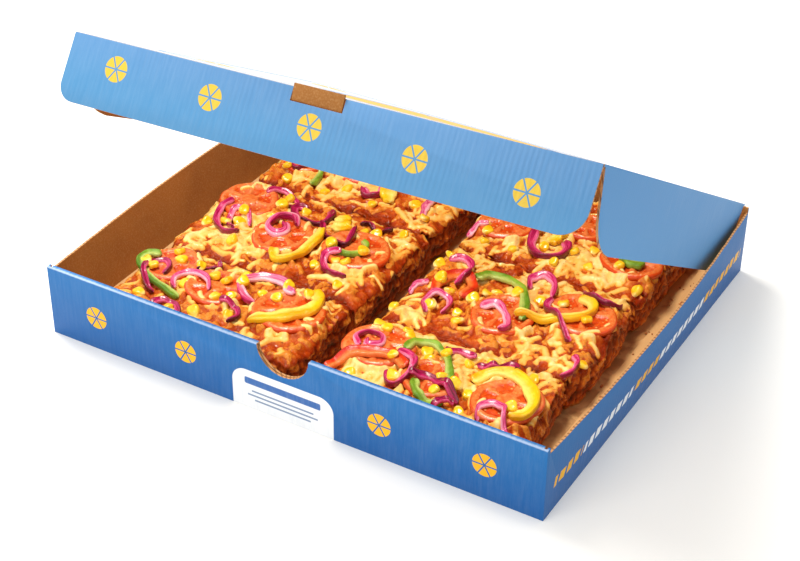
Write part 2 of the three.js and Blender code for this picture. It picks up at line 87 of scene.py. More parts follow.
# Strips of onion and pepper: points of a smooth run, width, height and how dark they are.
STRIPS = {
    "green_pepper_1": ([(37, 68), (30, 63), (30, 54), (41, 46), (56, 42), (72, 38)], 4.5, 4, 0.4),
    "onion_1": ([(52, 50), (50, 59), (43, 63), (37, 55), (40, 45), (47, 39), (54, 36)], 3.4, 3.4, 0.8),
    "onion_2": ([(117, 56), (105, 61), (99, 70), (103, 82), (114, 86), (124, 83), (129, 76), (136, 75)],
                5.5, 4, 0.15),
    "yellow_pepper_1": ([(144, 82), (153, 76), (154, 65), (146, 54), (136, 44), (124, 39)], 10, 4.5, 0.5),
    "onion_3": ([(37, 149), (35, 137), (40, 124), (51, 117), (61, 121)], 4.2, 4, 0.55),
    "onion_4": ([(93, 143), (85, 151), (76, 144), (77, 131), (86, 127), (90, 134), (84, 141)], 5, 5, 0.3),
    "onion_5": ([(84, 170), (77, 168), (79, 160), (90, 155), (101, 160), (103, 169), (98, 176)], 5, 4, 0.85),
    "onion_6": ([(103, 158), (110, 148), (120, 142), (132, 140), (131, 149), (128, 160)], 4, 4, 0.9),
    "yellow_pepper_2": ([(110, 173), (115, 164), (119, 154)], 12, 4.5, 0.4),
    "green_pepper_2": ([(124, 139), (130, 132), (139, 131), (146, 137), (146, 145), (140, 149)], 4.2, 4, 0.4),
    "onion_7": ([(137, 128), (128, 126), (130, 117), (139, 111), (150, 113)], 4.5, 4, 0.5),
    "yellow_pepper_3": ([(109, 149), (112, 137), (111, 123), (108, 110), (101, 105), (94, 113)], 7, 4.5, 0.5),
    "onion_8": ([(39, 222), (43, 212), (49, 208), (53, 215)], 4, 3.6, 0.6),
    "green_pepper_3": ([(60, 226), (66, 212), (68, 198)], 5, 4, 0.3),
    "onion_9": ([(113, 220), (115, 212), (108, 207), (101, 212)], 5.5, 4.5, 0.5),
    "yellow_pepper_4": ([(116, 230), (120, 216), (126, 206)], 10, 4.5, 0.5),
    "onion_10": ([(151, 226), (152, 212), (156, 200)], 5, 3.8, 0.15),
    "red_pepper_1": ([(190, 25), (196, 38), (210, 47), (224, 50), (235, 44)], 7, 4.8, 0.5),
    "onion_11": ([(222, 57), (233, 54), (240, 44), (237, 33), (230, 32), (226, 39)], 4.4, 4, 0.5),
    "green_pepper_4": ([(226, 59), (226, 71), (236, 77), (248, 69), (257, 57), (265, 43)], 4.6, 4, 0.3),
    "onion_12": ([(241, 37), (250, 43), (262, 41), (275, 36)], 4.6, 4, 1.0),
    "green_pepper_5": ([(246, 36), (251, 28), (260, 25), (268, 31)], 6, 4.5, 0.2),
    "yellow_pepper_5": ([(273, 56), (279, 67), (291, 71), (305, 65), (315, 53), (316, 41), (308, 34)],
                        8, 4.8, 0.5),
    "red_pepper_2": ([(208, 125), (204, 138), (209, 150), (218, 152), (226, 143), (225, 130)], 8, 4.8, 0.8),
    "onion_13": ([(197, 164), (205, 169), (213, 165), (217, 154), (214, 142)], 4.4, 4, 0.55),
    "onion_14": ([(242, 123), (250, 130), (260, 123), (266, 113), (263, 107)], 5, 4, 0.2),
    "green_pepper_6": ([(225, 151), (228, 162), (240, 164), (254, 156), (264, 141), (271, 124)],
                       5.6, 4.2, 0.3),
    "yellow_pepper_6": ([(291, 163), (301, 161), (304, 152), (297, 142), (283, 134), (264, 126)],
                        6.5, 4.8, 0.5),
    "onion_15": ([(290, 177), (293, 169), (303, 166), (313, 168), (315, 176)], 4, 3.8, 0.65),
    "onion_16": ([(257, 162), (253, 172), (260, 179), (269, 173), (274, 160)], 4.6, 4, 0.45),
    "onion_17": ([(277, 155), (278, 144), (290, 136), (304, 123)], 4, 3.6, 0.55),
    "onion_18": ([(232, 221), (235, 207), (246, 199), (256, 204), (258, 214), (252, 222)], 5.5, 4.5, 0.6),
    "yellow_pepper_7": ([(244, 216), (247, 228), (250, 240)], 8, 4.5, 0.5),
    "green_pepper_7": ([(294, 223), (302, 217), (310, 222)], 9, 4.5, 0.6),
}

# Thin curls of onion over the rest: points of a smooth run and how dark they are.
CURL_WIDE, CURL_HIGH = 3.5, 3.4
CURLS = [
    ([(62, 22), (66, 30), (75, 31), (82, 25)], 0.75),
    ([(99, 45), (108, 47), (116, 41), (114, 31)], 0.8),
    ([(66, 42), (60, 50), (63, 59), (71, 62), (80, 59), (87, 51)], 0.3),
    ([(68, 64), (69, 73), (75, 79), (71, 84)], 0.85),
    ([(57, 120), (47, 128), (45, 140), (54, 141), (61, 133)], 0.4),
    ([(50, 169), (55, 178), (64, 179), (73, 173), (69, 166)], 0.6),
    ([(125, 170), (130, 175), (137, 172), (147, 177)], 1.0),
    ([(200, 48), (193, 56), (197, 65), (206, 65), (210, 57), (204, 51), (200, 57)], 0.35),
    ([(214, 104), (207, 114), (209, 125), (218, 126), (223, 117), (222, 109)], 0.3),
    ([(191, 123), (192, 132), (197, 138)], 0.25),
    ([(293, 25), (290, 34), (296, 40), (304, 37), (308, 29), (314, 22)], 0.35),
    ([(190, 201), (193, 208), (200, 213)], 0.2),
    ([(265, 20), (268, 28), (274, 33)], 0.9),
    ([(314, 90), (318, 96), (318, 105), (312, 112)], 0.45),
    ([(247, 71), (253, 78), (264, 79)], 0.7),
    ([(268, 72), (279, 74), (284, 83), (290, 82), (292, 73)], 0.9),
]

# Sweetcorn kernels in known places; more are scattered by rule.
CORN = [
    (44, 77), (33, 57), (40, 55), (90, 65), (117, 67), (128, 66), (103, 53), (94, 47), (110, 38),
    (46, 32), (90, 30), (72, 27), (94, 80), (66, 52),
    (33, 122), (46, 127), (52, 133), (63, 110), (68, 150), (85, 165), (125, 134), (137, 121), (143, 124),
    (140, 166), (131, 165), (156, 175), (66, 164), (122, 118), (52, 140),
    (80, 196), (92, 208), (72, 244), (110, 250), (142, 214), (118, 266), (58, 268), (34, 246),
    (204, 74), (220, 75), (236, 68), (240, 62), (262, 73), (258, 47), (259, 35), (279, 29), (207, 27),
    (275, 80), (302, 80), (277, 44), (196, 78), (216, 80),
    (194, 172), (192, 160), (213, 136), (235, 145), (232, 132), (240, 150), (255, 148), (268, 156),
    (285, 153), (229, 117), (321, 107), (190, 105), (213, 112), (235, 108),
    (206, 197), (226, 199), (243, 211), (278, 205), (315, 198), (272, 226), (232, 262), (290, 256),
]


def corner_to_frame(x, y, z=0.0):
    """Millimetres from the tray's front left corner to metres in the object's frame."""
    return Vector(((x - BOX_W / 2) * MM, (y - BOX_D / 2) * MM, z * MM))


# ---------------------------------------------------------------- colours and shader helpers


def rgb(r, g, b):
    """A screen colour, 0 to 255, as a linear shader colour."""
    def linear(c):
        c /= 255
        return c / 12.92 if c <= 0.04045 else ((c + 0.055) / 1.055) ** 2.4
    return (linear(r), linear(g), linear(b), 1.0)


def connect(tree, socket, value):
    """Links a socket to a shader value, or sets it to a plain number, colour or vector."""
    if isinstance(value, Value):
        value = value.socket
    if isinstance(value, bpy.types.NodeSocket):
        tree.links.new(value, socket)
    else:
        socket.default_value = value


def put(tree, kind, inputs=None, **settings):
    """Adds a node, with its settings and with its inputs set or linked by name."""
    node = tree.nodes.new(kind)
    for name, value in settings.items():
        setattr(node, name, value)
    for name, value in (inputs or {}).items():
        connect(tree, node.inputs[name], value)
    return node


class Value:
    """A number in a shader. Arithmetic on it adds Math nodes to its tree."""

    def __init__(self, tree, socket):
        self.tree = tree
        self.socket = socket

    def math(self, operation, other=0.0, swapped=False, clamp=False):
        inputs = {0: other, 1: self} if swapped else {0: self, 1: other}
        node = put(self.tree, "ShaderNodeMath", inputs, operation=operation, use_clamp=clamp)
        return Value(self.tree, node.outputs[0])

    def __add__(self, other):
        return self.math("ADD", other)

    def __sub__(self, other):
        return self.math("SUBTRACT", other)

    def __rsub__(self, other):
        return self.math("SUBTRACT", other, swapped=True)

    def __mul__(self, other):
        return self.math("MULTIPLY", other)

    def __truediv__(self, other):
        return self.math("DIVIDE", other)

    def __mod__(self, other):
        return self.math("FLOORED_MODULO", other)

    def __abs__(self):
        return self.math("ABSOLUTE")

    def step(self, low, high):
        """0 below low, 1 above high, smooth between."""
        inputs = {"Value": self, "From Min": low, "From Max": high}
        node = put(self.tree, "ShaderNodeMapRange", inputs, interpolation_type="SMOOTHSTEP")
        return Value(self.tree, node.outputs[0])

    def mix(self, a, b):
        """Colour a where the value is 0 and colour b where it is 1."""
        return put(self.tree, "ShaderNodeMix", {0: self, 6: a, 7: b}, data_type="RGBA").outputs[2]

    def ramp(self, *stops):
        """The colours of the stops, each a place from 0 to 1 and three screen colours."""
        node = put(self.tree, "ShaderNodeValToRGB", {"Fac": self})
        band = node.color_ramp
        while len(band.elements) < len(stops):
            band.elements.new(0.5)
        for element, (place, *colour) in zip(band.elements, stops):
            element.position = place
            element.color = rgb(*colour)
        return node.outputs["Color"]


def hypot_of(u, v):
    return (u.math("POWER", 2.0) + v.math("POWER", 2.0)).math("SQRT")


def noise_of(tree, where, scale, detail=3.0, rough=0.55, distortion=0.0):
    inputs = {"Vector": where, "Scale": scale, "Detail": detail, "Roughness": rough, "Distortion": distortion}
    return Value(tree, put(tree, "ShaderNodeTexNoise", inputs).outputs["Fac"])


def spots_of(tree, where, scale, randomness, low, high):
    """Round spots: 1 within low of a cell's middle, 0 past high."""
    cells = put(tree, "ShaderNodeTexVoronoi", {"Vector": where, "Scale": scale, "Randomness": randomness})
    return 1.0 - Value(tree, cells.outputs["Distance"]).step(low, high)


def stretched(tree, where, x, y):
    return put(tree, "ShaderNodeMapping", {"Vector": where, "Scale": (x, y, 1.0)}).outputs[0]


def split(tree, where):
    parts = put(tree, "ShaderNodeSeparateXYZ", {0: where}).outputs
    return Value(tree, parts["X"]), Value(tree, parts["Y"])


def attribute_of(tree, name):
    return Value(tree, put(tree, "ShaderNodeAttribute", attribute_name=name).outputs["Fac"])


def bump_of(tree, height, distance, strength):
    inputs = {"Height": height, "Distance": distance, "Strength": strength}
    return put(tree, "ShaderNodeBump", inputs).outputs[0]


def object_place(tree):
    return put(tree, "ShaderNodeTexCoord").outputs["Object"]


def sheet_place(tree):
    return put(tree, "ShaderNodeUVMap", uv_map="sheet").outputs["UV"]


def new_material(name):
    material = bpy.data.materials.new(name)
    material.use_nodes = True
    return material, material.node_tree


def feed(tree, **sockets):
    """Links or sets the Principled shader's own sockets, named with _ for a space."""
    shader = tree.nodes["Principled BSDF"]
    for label, value in sockets.items():
        connect(tree, shader.inputs[label.replace("_", " ")], value)


def node_group(**defaults):
    """Makes a function (tree, where, its inputs) that gives a dict of values into a shared node group."""
    def build(make):
        group = bpy.data.node_groups.new(make.__name__, "ShaderNodeTree")
        group.interface.new_socket("where", in_out="INPUT", socket_type="NodeSocketVector")
        for label, value in defaults.items():
            socket = group.interface.new_socket(label, in_out="INPUT", socket_type="NodeSocketFloat")
            socket.default_value = value
        come = put(group, "NodeGroupInput").outputs
        made = make(group, come["where"], **{label: Value(group, come[label]) for label in defaults})
        for label in made:
            group.interface.new_socket(label, in_out="OUTPUT", socket_type="NodeSocketFloat")
        put(group, "NodeGroupOutput", made)

        def use(tree, where, **values):
            node = put(tree, "ShaderNodeGroup", {"where": where, **values}, node_tree=group)
            return {label: Value(tree, node.outputs[label]) for label in made}
        return use
    return build


# ---------------------------------------------------------------- shared effects

FLUTE_PITCH = 0.0033
TURN = 2 * math.pi
INK_EDGE, DASH_EDGE = 0.00015, 0.00012


@node_group(pitch=FLUTE_PITCH, waves=1.0)
def card_grain(tree, where, pitch, waves):
    """Corrugated board seen through its liner: washboard waves, paper fibres and mottling."""
    across = split(tree, where)[0] + noise_of(tree, where, 60.0, 2.0) * 0.0012
    wave = (across / pitch * TURN).math("SINE")
    patchy = noise_of(tree, where, 28.0).step(0.3, 0.7)
    fibres = noise_of(tree, stretched(tree, where, 1.0, 0.22), 1500.0, 4.0, 0.7)
    streaks = noise_of(tree, stretched(tree, where, 1.0, 0.09), 420.0, 4.0, 0.75)
    return {
        "height": wave * patchy * waves + fibres * 0.6,
        "mottle": streaks * 0.7 + noise_of(tree, where, 45.0) * 0.3,
    }


@node_group(centre_u=0.0, centre_v=0.0, half_width=0.02, half_height=0.01, corner=0.003)
def rounded_field(tree, where, centre_u, centre_v, half_width, half_height, corner):
    """A rounded rectangle of print."""
    u, v = split(tree, where)
    past_u = (abs(u - centre_u) - (half_width - corner)).math("MAXIMUM", 0.0)
    past_v = (abs(v - centre_v) - (half_height - corner)).math("MAXIMUM", 0.0)
    return {"mask": (corner - hypot_of(past_u, past_v)).step(-INK_EDGE, INK_EDGE)}


@node_group(first=0.036, pitch=0.068, row=0.02, radius=0.0078)
def spaced_discs(tree, where, first, pitch, row, radius):
    """A row of printed discs, each cut in six like a sliced pie."""
    u, v = split(tree, where)
    half = pitch * 0.5
    u = (u - first + half) % pitch - half
    v = v - row
    away = hypot_of(u, v)
    wedge = (v.math("ARCTAN2", u) + TURN * 5 / 3) % (TURN / 6)
    to_cut = TURN / 12 - abs(wedge - TURN / 12)
    off_the_cuts = (to_cut * away).step(0.0004, 0.0006)
    return {"mask": (radius - away).step(-INK_EDGE, INK_EDGE) * off_the_cuts}


@node_group(pitch=0.009, length=0.0062, row=0.02, half_height=0.003, slant=0.35)
def dash_row(tree, where, pitch, length, row, half_height, slant):
    """A row of slanted printed dashes."""
    u, v = split(tree, where)
    rise = v - row
    along = u - rise * slant
    on = (length - along % pitch).step(-DASH_EDGE, DASH_EDGE)
    tall = (half_height - abs(rise)).step(-DASH_EDGE, DASH_EDGE)
    return {"mask": on * tall, "along": along}


@node_group(scale=90.0, flecks=600.0)
def browning(tree, where, scale, flecks):
    """Uneven browning: broad patches broken by small flecks."""
    broad = noise_of(tree, where, scale, 4.0, 0.6, 0.4)
    fine = noise_of(tree, where, flecks, 3.0, 0.65)
    return {"patches": (broad * 0.75 + fine * 0.25).step(0.35, 0.65), "specks": fine.step(0.4, 0.75)}


# ---------------------------------------------------------------- card materials

BLUE, BLUE_DEEP = rgb(24, 102, 166), rgb(14, 90, 158)
# The front flap's and the side flaps' blues are the walls' ink painted lighter: painted light, and on the
# front flap a painted sheen.
FLAP_LIT_BLUES = rgb(90, 139, 186), rgb(80, 140, 186)
WING_LIT_BLUES = rgb(72, 138, 196), rgb(80, 146, 202)
YELLOW = rgb(240, 178, 24)
WHITE, LID_WHITE = rgb(236, 238, 240), rgb(204, 208, 213)
# KRAFT and KRAFT_DARK are the liner darkened to match the inner walls in shade, so they carry painted shade
# wherever the plain liner is used.
KRAFT, KRAFT_DARK = rgb(166, 108, 49), rgb(126, 74, 29)
PANEL_BAR, PANEL_LINE = rgb(60, 105, 170), rgb(120, 140, 170)
LID_BLUE, LID_YELLOW, LID_STROKE = rgb(62, 128, 188), rgb(232, 178, 44), rgb(140, 176, 216)
WALL_FADE = (0.0, 0.05)


def printed_card(name, deep, pale, fade, prints=(), waves=0.35, scuff_at=None):
    """Printed liner: deep and pale are its two colours, fade the v range that goes between them; the flaps
    get lighter copies of the walls' blue ink, painted light.

    prints are functions (tree, place) -> (mask, colour). scuff_at is the v of a
    fold whose ink is cracked and rubbed white.
    """
    material, tree = new_material(name)
    place = sheet_place(tree)
    grain = card_grain(tree, place, waves=waves)
    v = split(tree, place)[1]
    streak = grain["mottle"].step(0.35, 0.72)
    ink_and_painted_light = (streak * 0.05).mix(v.step(*fade).mix(deep, pale), rgb(225, 238, 250))
    for make_print in prints:
        mask, colour = make_print(tree, place)
        worn = mask.math("MULTIPLY", 1.05 - streak * 0.15, clamp=True)
        ink_and_painted_light = worn.mix(ink_and_painted_light, colour)
    if scuff_at is not None:
        ragged = abs(v - scuff_at) + noise_of(tree, place, 500.0) * 0.0007
        crack = 1.0 - ragged.step(0.0005, 0.0012)
        ink_and_painted_light = (crack * 0.35).mix(ink_and_painted_light, rgb(225, 235, 246))
    feed(tree, Base_Color=ink_and_painted_light, Roughness=grain["mottle"].step(0.0, 1.6) + 0.28, Specular_IOR_Level=0.22,
         Normal=bump_of(tree, grain["height"], 0.00012, 0.9))
    return material


def discs_print(first, pitch, row, radius=7.8, colour=YELLOW, skip=None):
    """Discs along the sheet, in millimetres; the one nearest to skip is left out."""
    def paint(tree, place):
        sizes = {"first": first * MM, "pitch": pitch * MM, "row": row * MM, "radius": radius * MM}
        mask = spaced_discs(tree, place, **sizes)["mask"]
        if skip is not None:
            away = abs(split(tree, place)[0] - skip * MM)
            mask = mask * away.step(pitch * MM * 0.4, pitch * MM * 0.45)
        return mask, colour
    return paint


def field_print(centre_u, centre_v, half_width, half_height, corner, colour):
    """A rounded field on the sheet, in millimetres."""
    def paint(tree, place):
        field = rounded_field(tree, place, centre_u=centre_u * MM, centre_v=centre_v * MM,
                              half_width=half_width * MM, half_height=half_height * MM, corner=corner * MM)
        return field["mask"], colour
    return paint


def dashes_print(low, high, colour):
    """Dashes along the side wall from low to high, in millimetres."""
    def paint(tree, place):
        dashes = dash_row(tree, place, row=19.5 * MM, half_height=3.2 * MM)
        along = dashes["along"]
        within = along.math("GREATER_THAN", low * MM) * along.math("LESS_THAN", high * MM)
        return dashes["mask"] * within, colour
    return paint


def kraft_card(name, light=KRAFT, dark=KRAFT_DARK, greasy=False):
    """Bare brown liner, with grease soaked in near the food where asked."""
    material, tree = new_material(name)
    place = object_place(tree)
    grain = card_grain(tree, place, waves=0.5)
    brown = browning(tree, place, scale=22.0, flecks=900.0)
    paper = (brown["patches"] * 0.35).mix(light, dark)
    paper = (brown["specks"] * 0.25).mix(paper, rgb(222, 172, 112))
    rough = 0.75
    if greasy:
        food = rounded_field(tree, place, centre_u=-0.003, centre_v=0.0012,
                             half_width=0.155, half_height=0.138, corner=0.012)
        soaked = food["mask"] * noise_of(tree, place, 38.0, 4.0, 0.6, 0.6).step(0.47, 0.6)
        paper = (soaked * 0.5).mix(paper, rgb(140, 74, 26))
        rough = rough - soaked * 0.35
    feed(tree, Base_Color=paper, Roughness=rough, Specular_IOR_Level=0.25,
         Normal=bump_of(tree, grain["height"], 0.0001, 0.8))
    return material


def cut_edge(name):
    """Raw edge of corrugated board: pale liners with the flute mouths between painted dark, as painted shade
    in the hollow flutes.
    """
    material, tree = new_material(name)
    place = sheet_place(tree)
    u, v = split(tree, place)
    along = u + v * 0.83 + noise_of(tree, place, 40.0, 2.0) * 0.002
    wave = (along * (TURN / FLUTE_PITCH)).math("SINE")
    card = noise_of(tree, place, 700.0).mix(rgb(206, 158, 106), rgb(166, 112, 66))
    # painted shade in the hollow flute mouths
    card = (wave.step(0.1, 0.8) * 0.65).mix(card, rgb(84, 50, 28))
    feed(tree, Base_Color=card, Roughness=0.85, Normal=bump_of(tree, wave, 0.0001, -0.6))
    return material


FRONT_PRINTS = [
    discs_print(36.7, 68.8, 24, skip=174.3),
    field_print(176, 9, 36, 19.2, 10, WHITE),
    field_print(176, 20.5, 27, 2.4, 1, PANEL_BAR),
    *(field_print(176, v, half, 0.6, 0.3, PANEL_LINE) for v, half in ((13.6, 22), (10.4, 25), (7.2, 20))),
]
SIDE_RUNS = [(12, 46, YELLOW), (48, 112, WHITE), (114, 150, YELLOW), (152, 222, WHITE), (224, 289, YELLOW)]
SIDE_PRINTS = [dashes_print(*run) for run in SIDE_RUNS]
TOP_PRINTS = [
    field_print(70, 14, 16, 0.8, 0.5, rgb(240, 200, 100)),
    field_print(262, 10, 60, 0.7, 0.5, LID_STROKE),
    field_print(290, 16, 42, 0.7, 0.5, LID_STROKE),
    field_print(175, 152, 150, 108, 14, LID_BLUE),
    field_print(175, 152, 146, 104, 11, LID_WHITE),
    field_print(175, 152, 84, 84, 84, LID_BLUE),
    discs_print(175, 400, 152, radius=74, colour=LID_YELLOW),
    *(discs_print(54, 242, row, radius=13, colour=LID_YELLOW) for row in (226, 78)),
]
FLAP_PRINTS = [discs_print(35.8, 67.9, 19.6, colour=rgb(222, 186, 62))]
CARD = {
    "front": printed_card("blue_front_print", BLUE_DEEP, BLUE, WALL_FADE, FRONT_PRINTS, 0.3, FRONT_H * MM),
    "side": printed_card("blue_side_print", BLUE_DEEP, BLUE, WALL_FADE, SIDE_PRINTS, 0.2),
    "plain": printed_card("blue_plain_print", BLUE_DEEP, BLUE, WALL_FADE, waves=0.2),
    # The front flap and the side flaps take the lighter blues, painted light.
    "flap": printed_card("lit_blue_flap_print", *FLAP_LIT_BLUES, (0.0, 0.036), FLAP_PRINTS, 0.6),
    "wing": printed_card("lit_blue_side_flap_print", *WING_LIT_BLUES, WALL_FADE, waves=0.15),
    "top": printed_card("white_lid_print", LID_WHITE, rgb(208, 212, 217), (0.0, 0.3), TOP_PRINTS, 0.15),
    "kraft": kraft_card("kraft_liner"),
    # The tray's floor: the same kraft painted lighter as painted light, with grease soaked in near the food.
    "floor": kraft_card("greasy_kraft_liner_painted_lighter", light=rgb(222, 178, 122), dark=rgb(200, 152, 98), greasy=True),
    "edge": cut_edge("corrugated_cut_edge"),
}


# ---------------------------------------------------------------- pieces from meshes


def mesh_of(name, shape):
    """The finished mesh of a bmesh, which is used up."""
    mesh = bpy.data.meshes.new(name)
    shape.to_mesh(mesh)
    shape.free()
    return mesh


def joined(name, parts):
    """One mesh of all the parts, which are used up."""
    shape = bmesh.new()
    for part in parts:
        shape.from_mesh(part)
        bpy.data.meshes.remove(part)
    return mesh_of(name, shape)


def shown(name, data):
    piece = bpy.data.objects.new(name, data)
    bpy.context.scene.collection.objects.link(piece)
    return piece


def label_run(shape, place):
    """Gives each face corner its place on the printed sheet or along the strip."""
    layer = shape.loops.layers.uv.new("sheet")
    for face in shape.faces:
        face.smooth = True
        where = place(face)
        for loop in face.loops:
            loop[layer].uv = where(loop.vert.co)


# ---------------------------------------------------------------- card pieces


def dressed_card(node, name, body, kinds, classify):
    """A softened copy of a card node, whose faces get a material and a place on the printed sheet.

    classify(face) gives (kind of surface, function from a point to its u, v in metres).
    """
    shape = bmesh.new()
    shape.from_mesh(frame["nodes"][node].data)
    bmesh.ops.remove_doubles(shape, verts=shape.verts, dist=1e-6)
    bmesh.ops.dissolve_limit(shape, angle_limit=math.radians(0.15), verts=shape.verts, edges=shape.edges)
    sharp = [e for e in shape.edges if len(e.link_faces) == 2 and e.calc_face_angle() > math.radians(40)]
    bmesh.ops.bevel(shape, geom=sharp, offset=ROUNDED * MM, affect="EDGES", segments=2, profile=0.5,
                    material=-1, clamp_overlap=True)
    shape.normal_update()

    def dress(face):
        kind, place = classify(face)
        face.material_index = kinds.index(kind)
        return place

    label_run(shape, dress)
    mesh = mesh_of(name, shape)
    mesh.set_sharp_from_angle(angle=math.radians(50))
    for kind in kinds:
        mesh.materials.append(CARD[kind])
    piece = shown(name, mesh)
    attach(piece, body)
    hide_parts(node)
    return piece


HALF_W, HALF_D = BOX_W / 2 * MM, BOX_D / 2 * MM


def tray_faces(face):
    n, c = face.normal, face.calc_center_median()
    at_front = c.y < -HALF_D + ROLLED_WALL * MM
    in_notch = at_front and abs(c.x - NOTCH_X * MM) < NOTCH_HALF * MM and c.z > NOTCH_LOW * MM
    if in_notch and abs(n.y) < 0.5:
        return "edge", lambda p: (p.x + HALF_W + p.z, p.y)
    across = lambda p: (p.x + HALF_W, p.z)
    along = lambda p: (p.y + HALF_D, p.z)
    flat = lambda p: (p.x + HALF_W, p.y + HALF_D)
    if n.z < -0.6:
        return ("plain", flat) if c.z < 1 * MM else ("kraft", flat)
    if n.z > 0.6:
        if c.z < 2 * BOARD * MM:
            return "floor", flat
        if at_front and c.z > (FRONT_H - 2) * MM:
            return "front", lambda p: (p.x + HALF_W, FRONT_H * MM + 0.3 * (p.y + HALF_D))
        return "edge", (along if abs(c.x) > HALF_W - 4 * MM else across)
    if abs(n.x) > abs(n.y):
        outside = n.x * c.x > 0 and abs(c.x) > HALF_W - 1 * MM
        if not outside:
            return "kraft", along
        return ("side" if c.x > 0 else "plain"), along
    outside = n.y * c.y > 0 and abs(c.y) > HALF_D - 1 * MM
    if not outside:
        return "kraft", across
    return ("front" if c.y < 0 else "plain"), across


TRAY_KINDS = ["front", "side", "plain", "floor", "kraft", "edge"]
tray = dressed_card("tray", "tray_card", "tray", TRAY_KINDS, tray_faces)

# The lid lies in its own tilted plane: u along the hinge, v from the front crease back.
LID_TILT = math.radians(sum(LID_OPEN) / 2)
HINGE = Vector((0, HALF_D - BOARD / 2 * MM, HINGE_H * MM))
TO_LID = Matrix.Rotation(LID_TILT, 4, "X") @ Matrix.Translation(-HINGE)


def lid_faces(face):
    n = TO_LID.to_3x3() @ face.normal
    c = TO_LID @ face.calc_center_median()
    on_top = lambda p: (p.x + HALF_W, (TO_LID @ p).y + LID_L * MM)
    on_side = lambda p: ((TO_LID @ p).y + LID_L * MM, -(TO_LID @ p).z)
    edge_place = lambda p: ((TO_LID @ p).y + p.x, (TO_LID @ p).z)
    near_tab = abs(c.x) < TAB_HALF * MM and c.y < -(LID_L - TAB_DEEP) * MM
    if near_tab:
        return ("edge" if n.z > 0.6 else "kraft"), edge_place
    if abs(n.x) > 0.7:
        return ("wing" if n.x * c.x > 0 else "kraft"), on_side
    if abs(n.z) > 0.6 and c.z > -LID_SPRUNG * MM:
        return ("top" if n.z > 0 else "kraft"), on_top
    return "edge", edge_place


lid = dressed_card("lid", "lid_card", "lid", ["top", "wing", "kraft", "edge"], lid_faces)

crease = next(j for j in frame["joints"] if j["name"] == "flap_crease")
CREASE_AT = Vector(crease["pos_m"])
CREASE_ALONG = -Vector(crease["axis"])
FLAP_DOWN = Vector((0, -math.sin(math.radians(FLAP_LEAN)), -math.cos(math.radians(FLAP_LEAN))))
FLAP_OUT = CREASE_ALONG.cross(-FLAP_DOWN).normalized()


def flap_faces(face):
    place = lambda p: ((p - CREASE_AT).dot(CREASE_ALONG) + HALF_W - 3.15 * MM, (p - CREASE_AT).dot(FLAP_DOWN))
    facing = face.normal.dot(FLAP_OUT)
    if facing > 0.4:
        return "flap", place
    if facing < -0.4:
        return "kraft", place
    return "edge", place


FLAP_KINDS = ["flap", "kraft", "edge"]
front_flap = dressed_card("front_flap", "front_flap_card", "front_flap", FLAP_KINDS, flap_faces)


# ---------------------------------------------------------------- the pizza's surface as a map

CELL = 0.5                       # of the map, in millimetres
INNER_EDGE = 185                 # x where the right column starts
SAG, SAG_WIDE = 5.5, 17          # of the right column's inner edge, so that the gap's floor shows
FRONT_ROW = 96                   # y where the front row's thicker cheese has ended
OUTSKIRTS, THINNER = 20, 0.13    # how far in the cheese thins out near the rim, and how much
AREA_PER_SHRED = 25
SHREDS_ON_A_TOMATO = 6
MAP_W, MAP_D = int(BOX_W / CELL), int(BOX_D / CELL)
GX, GY = np.meshgrid((np.arange(MAP_W) + 0.5) * CELL, (np.arange(MAP_D) + 0.5) * CELL)


def smooth(t):
    """0 below 0, 1 above 1, smooth between."""
    t = np.clip(t, 0, 1)
    return t * t * (3 - 2 * t)


def hashed(a, b, seed):
    """Repeatable scrambled whole numbers."""
    h = (a * 374761393 + b * 668265263 + seed * 144665) & 0xFFFFFFFF
    return ((h ^ (h >> 13)) * 1274126177) & 0xFFFFFFFF


def cells_of(u, v):
    """Whole numbers of the cell that each place is in."""
    return np.floor(u).astype(np.int64), np.floor(v).astype(np.int64)


def bilinear(corner, fu, fv):
    """Blend of the four corners of a cell, corner(0, 0) to corner(1, 1)."""
    low = corner(0, 0) * (1 - fu) + corner(1, 0) * fu
    high = corner(0, 1) * (1 - fu) + corner(1, 1) * fu
    return low * (1 - fv) + high * fv


def value_noise(x, y, size, seed, octaves=3):
    """Smooth repeatable noise from 0 to 1, with features about size millimetres across."""
    total, weight, scale = 0.0, 0.0, 1.0 / size
    for octave in range(octaves):
        u, v = x * scale + 31.7 * octave, y * scale + 17.3 * octave
        iu, iv = cells_of(u, v)

        def corner(a, b):
            h = hashed(iu + a, iv + b, seed + octave)
            return ((h ^ (h >> 16)) & 0xFFFF) / 65535.0

        gain = 0.5 ** octave
        total = total + gain * bilinear(corner, smooth(u - iu), smooth(v - iv))
        weight += gain
        scale *= 2
    return total / weight


def waves(x, y):
    """Low waves of the cheese, as in the solid slices; x and y from the box's middle."""
    return 0.6 * np.sin(x * 0.17 + 1.3) * np.sin(y * 0.15 + 0.4) + 0.4 * np.sin(x * 0.31 + y * 0.23)


def lay_shred(height, cover, shred, tone=1.0):
    """Adds one melted shred, a bent rounded ridge, to a height map and a cover map."""
    x, y, turn, length, radius, rise, curl = shred
    reach = length / 2 + radius + 1
    x0, x1 = max(int((x - reach) / CELL), 0), min(int((x + reach) / CELL), MAP_W - 1)
    y0, y1 = max(int((y - reach) / CELL), 0), min(int((y + reach) / CELL), MAP_D - 1)
    if x1 <= x0 or y1 <= y0:
        return
    dx, dy = GX[y0:y1, x0:x1] - x, GY[y0:y1, x0:x1] - y
    along = dx * math.cos(turn) + dy * math.sin(turn)
    off = -dx * math.sin(turn) + dy * math.cos(turn) + curl * (along / length) ** 2 * length
    past = np.maximum(np.abs(along) - length / 2, 0)
    bulge = np.sqrt(np.clip(1 - (off ** 2 + past ** 2) / radius ** 2, 0, 1))
    height[y0:y1, x0:x1] = (height[y0:y1, x0:x1] ** 4 + (rise * bulge) ** 4) ** 0.25
    cover[y0:y1, x0:x1] = np.maximum(cover[y0:y1, x0:x1], bulge * tone)


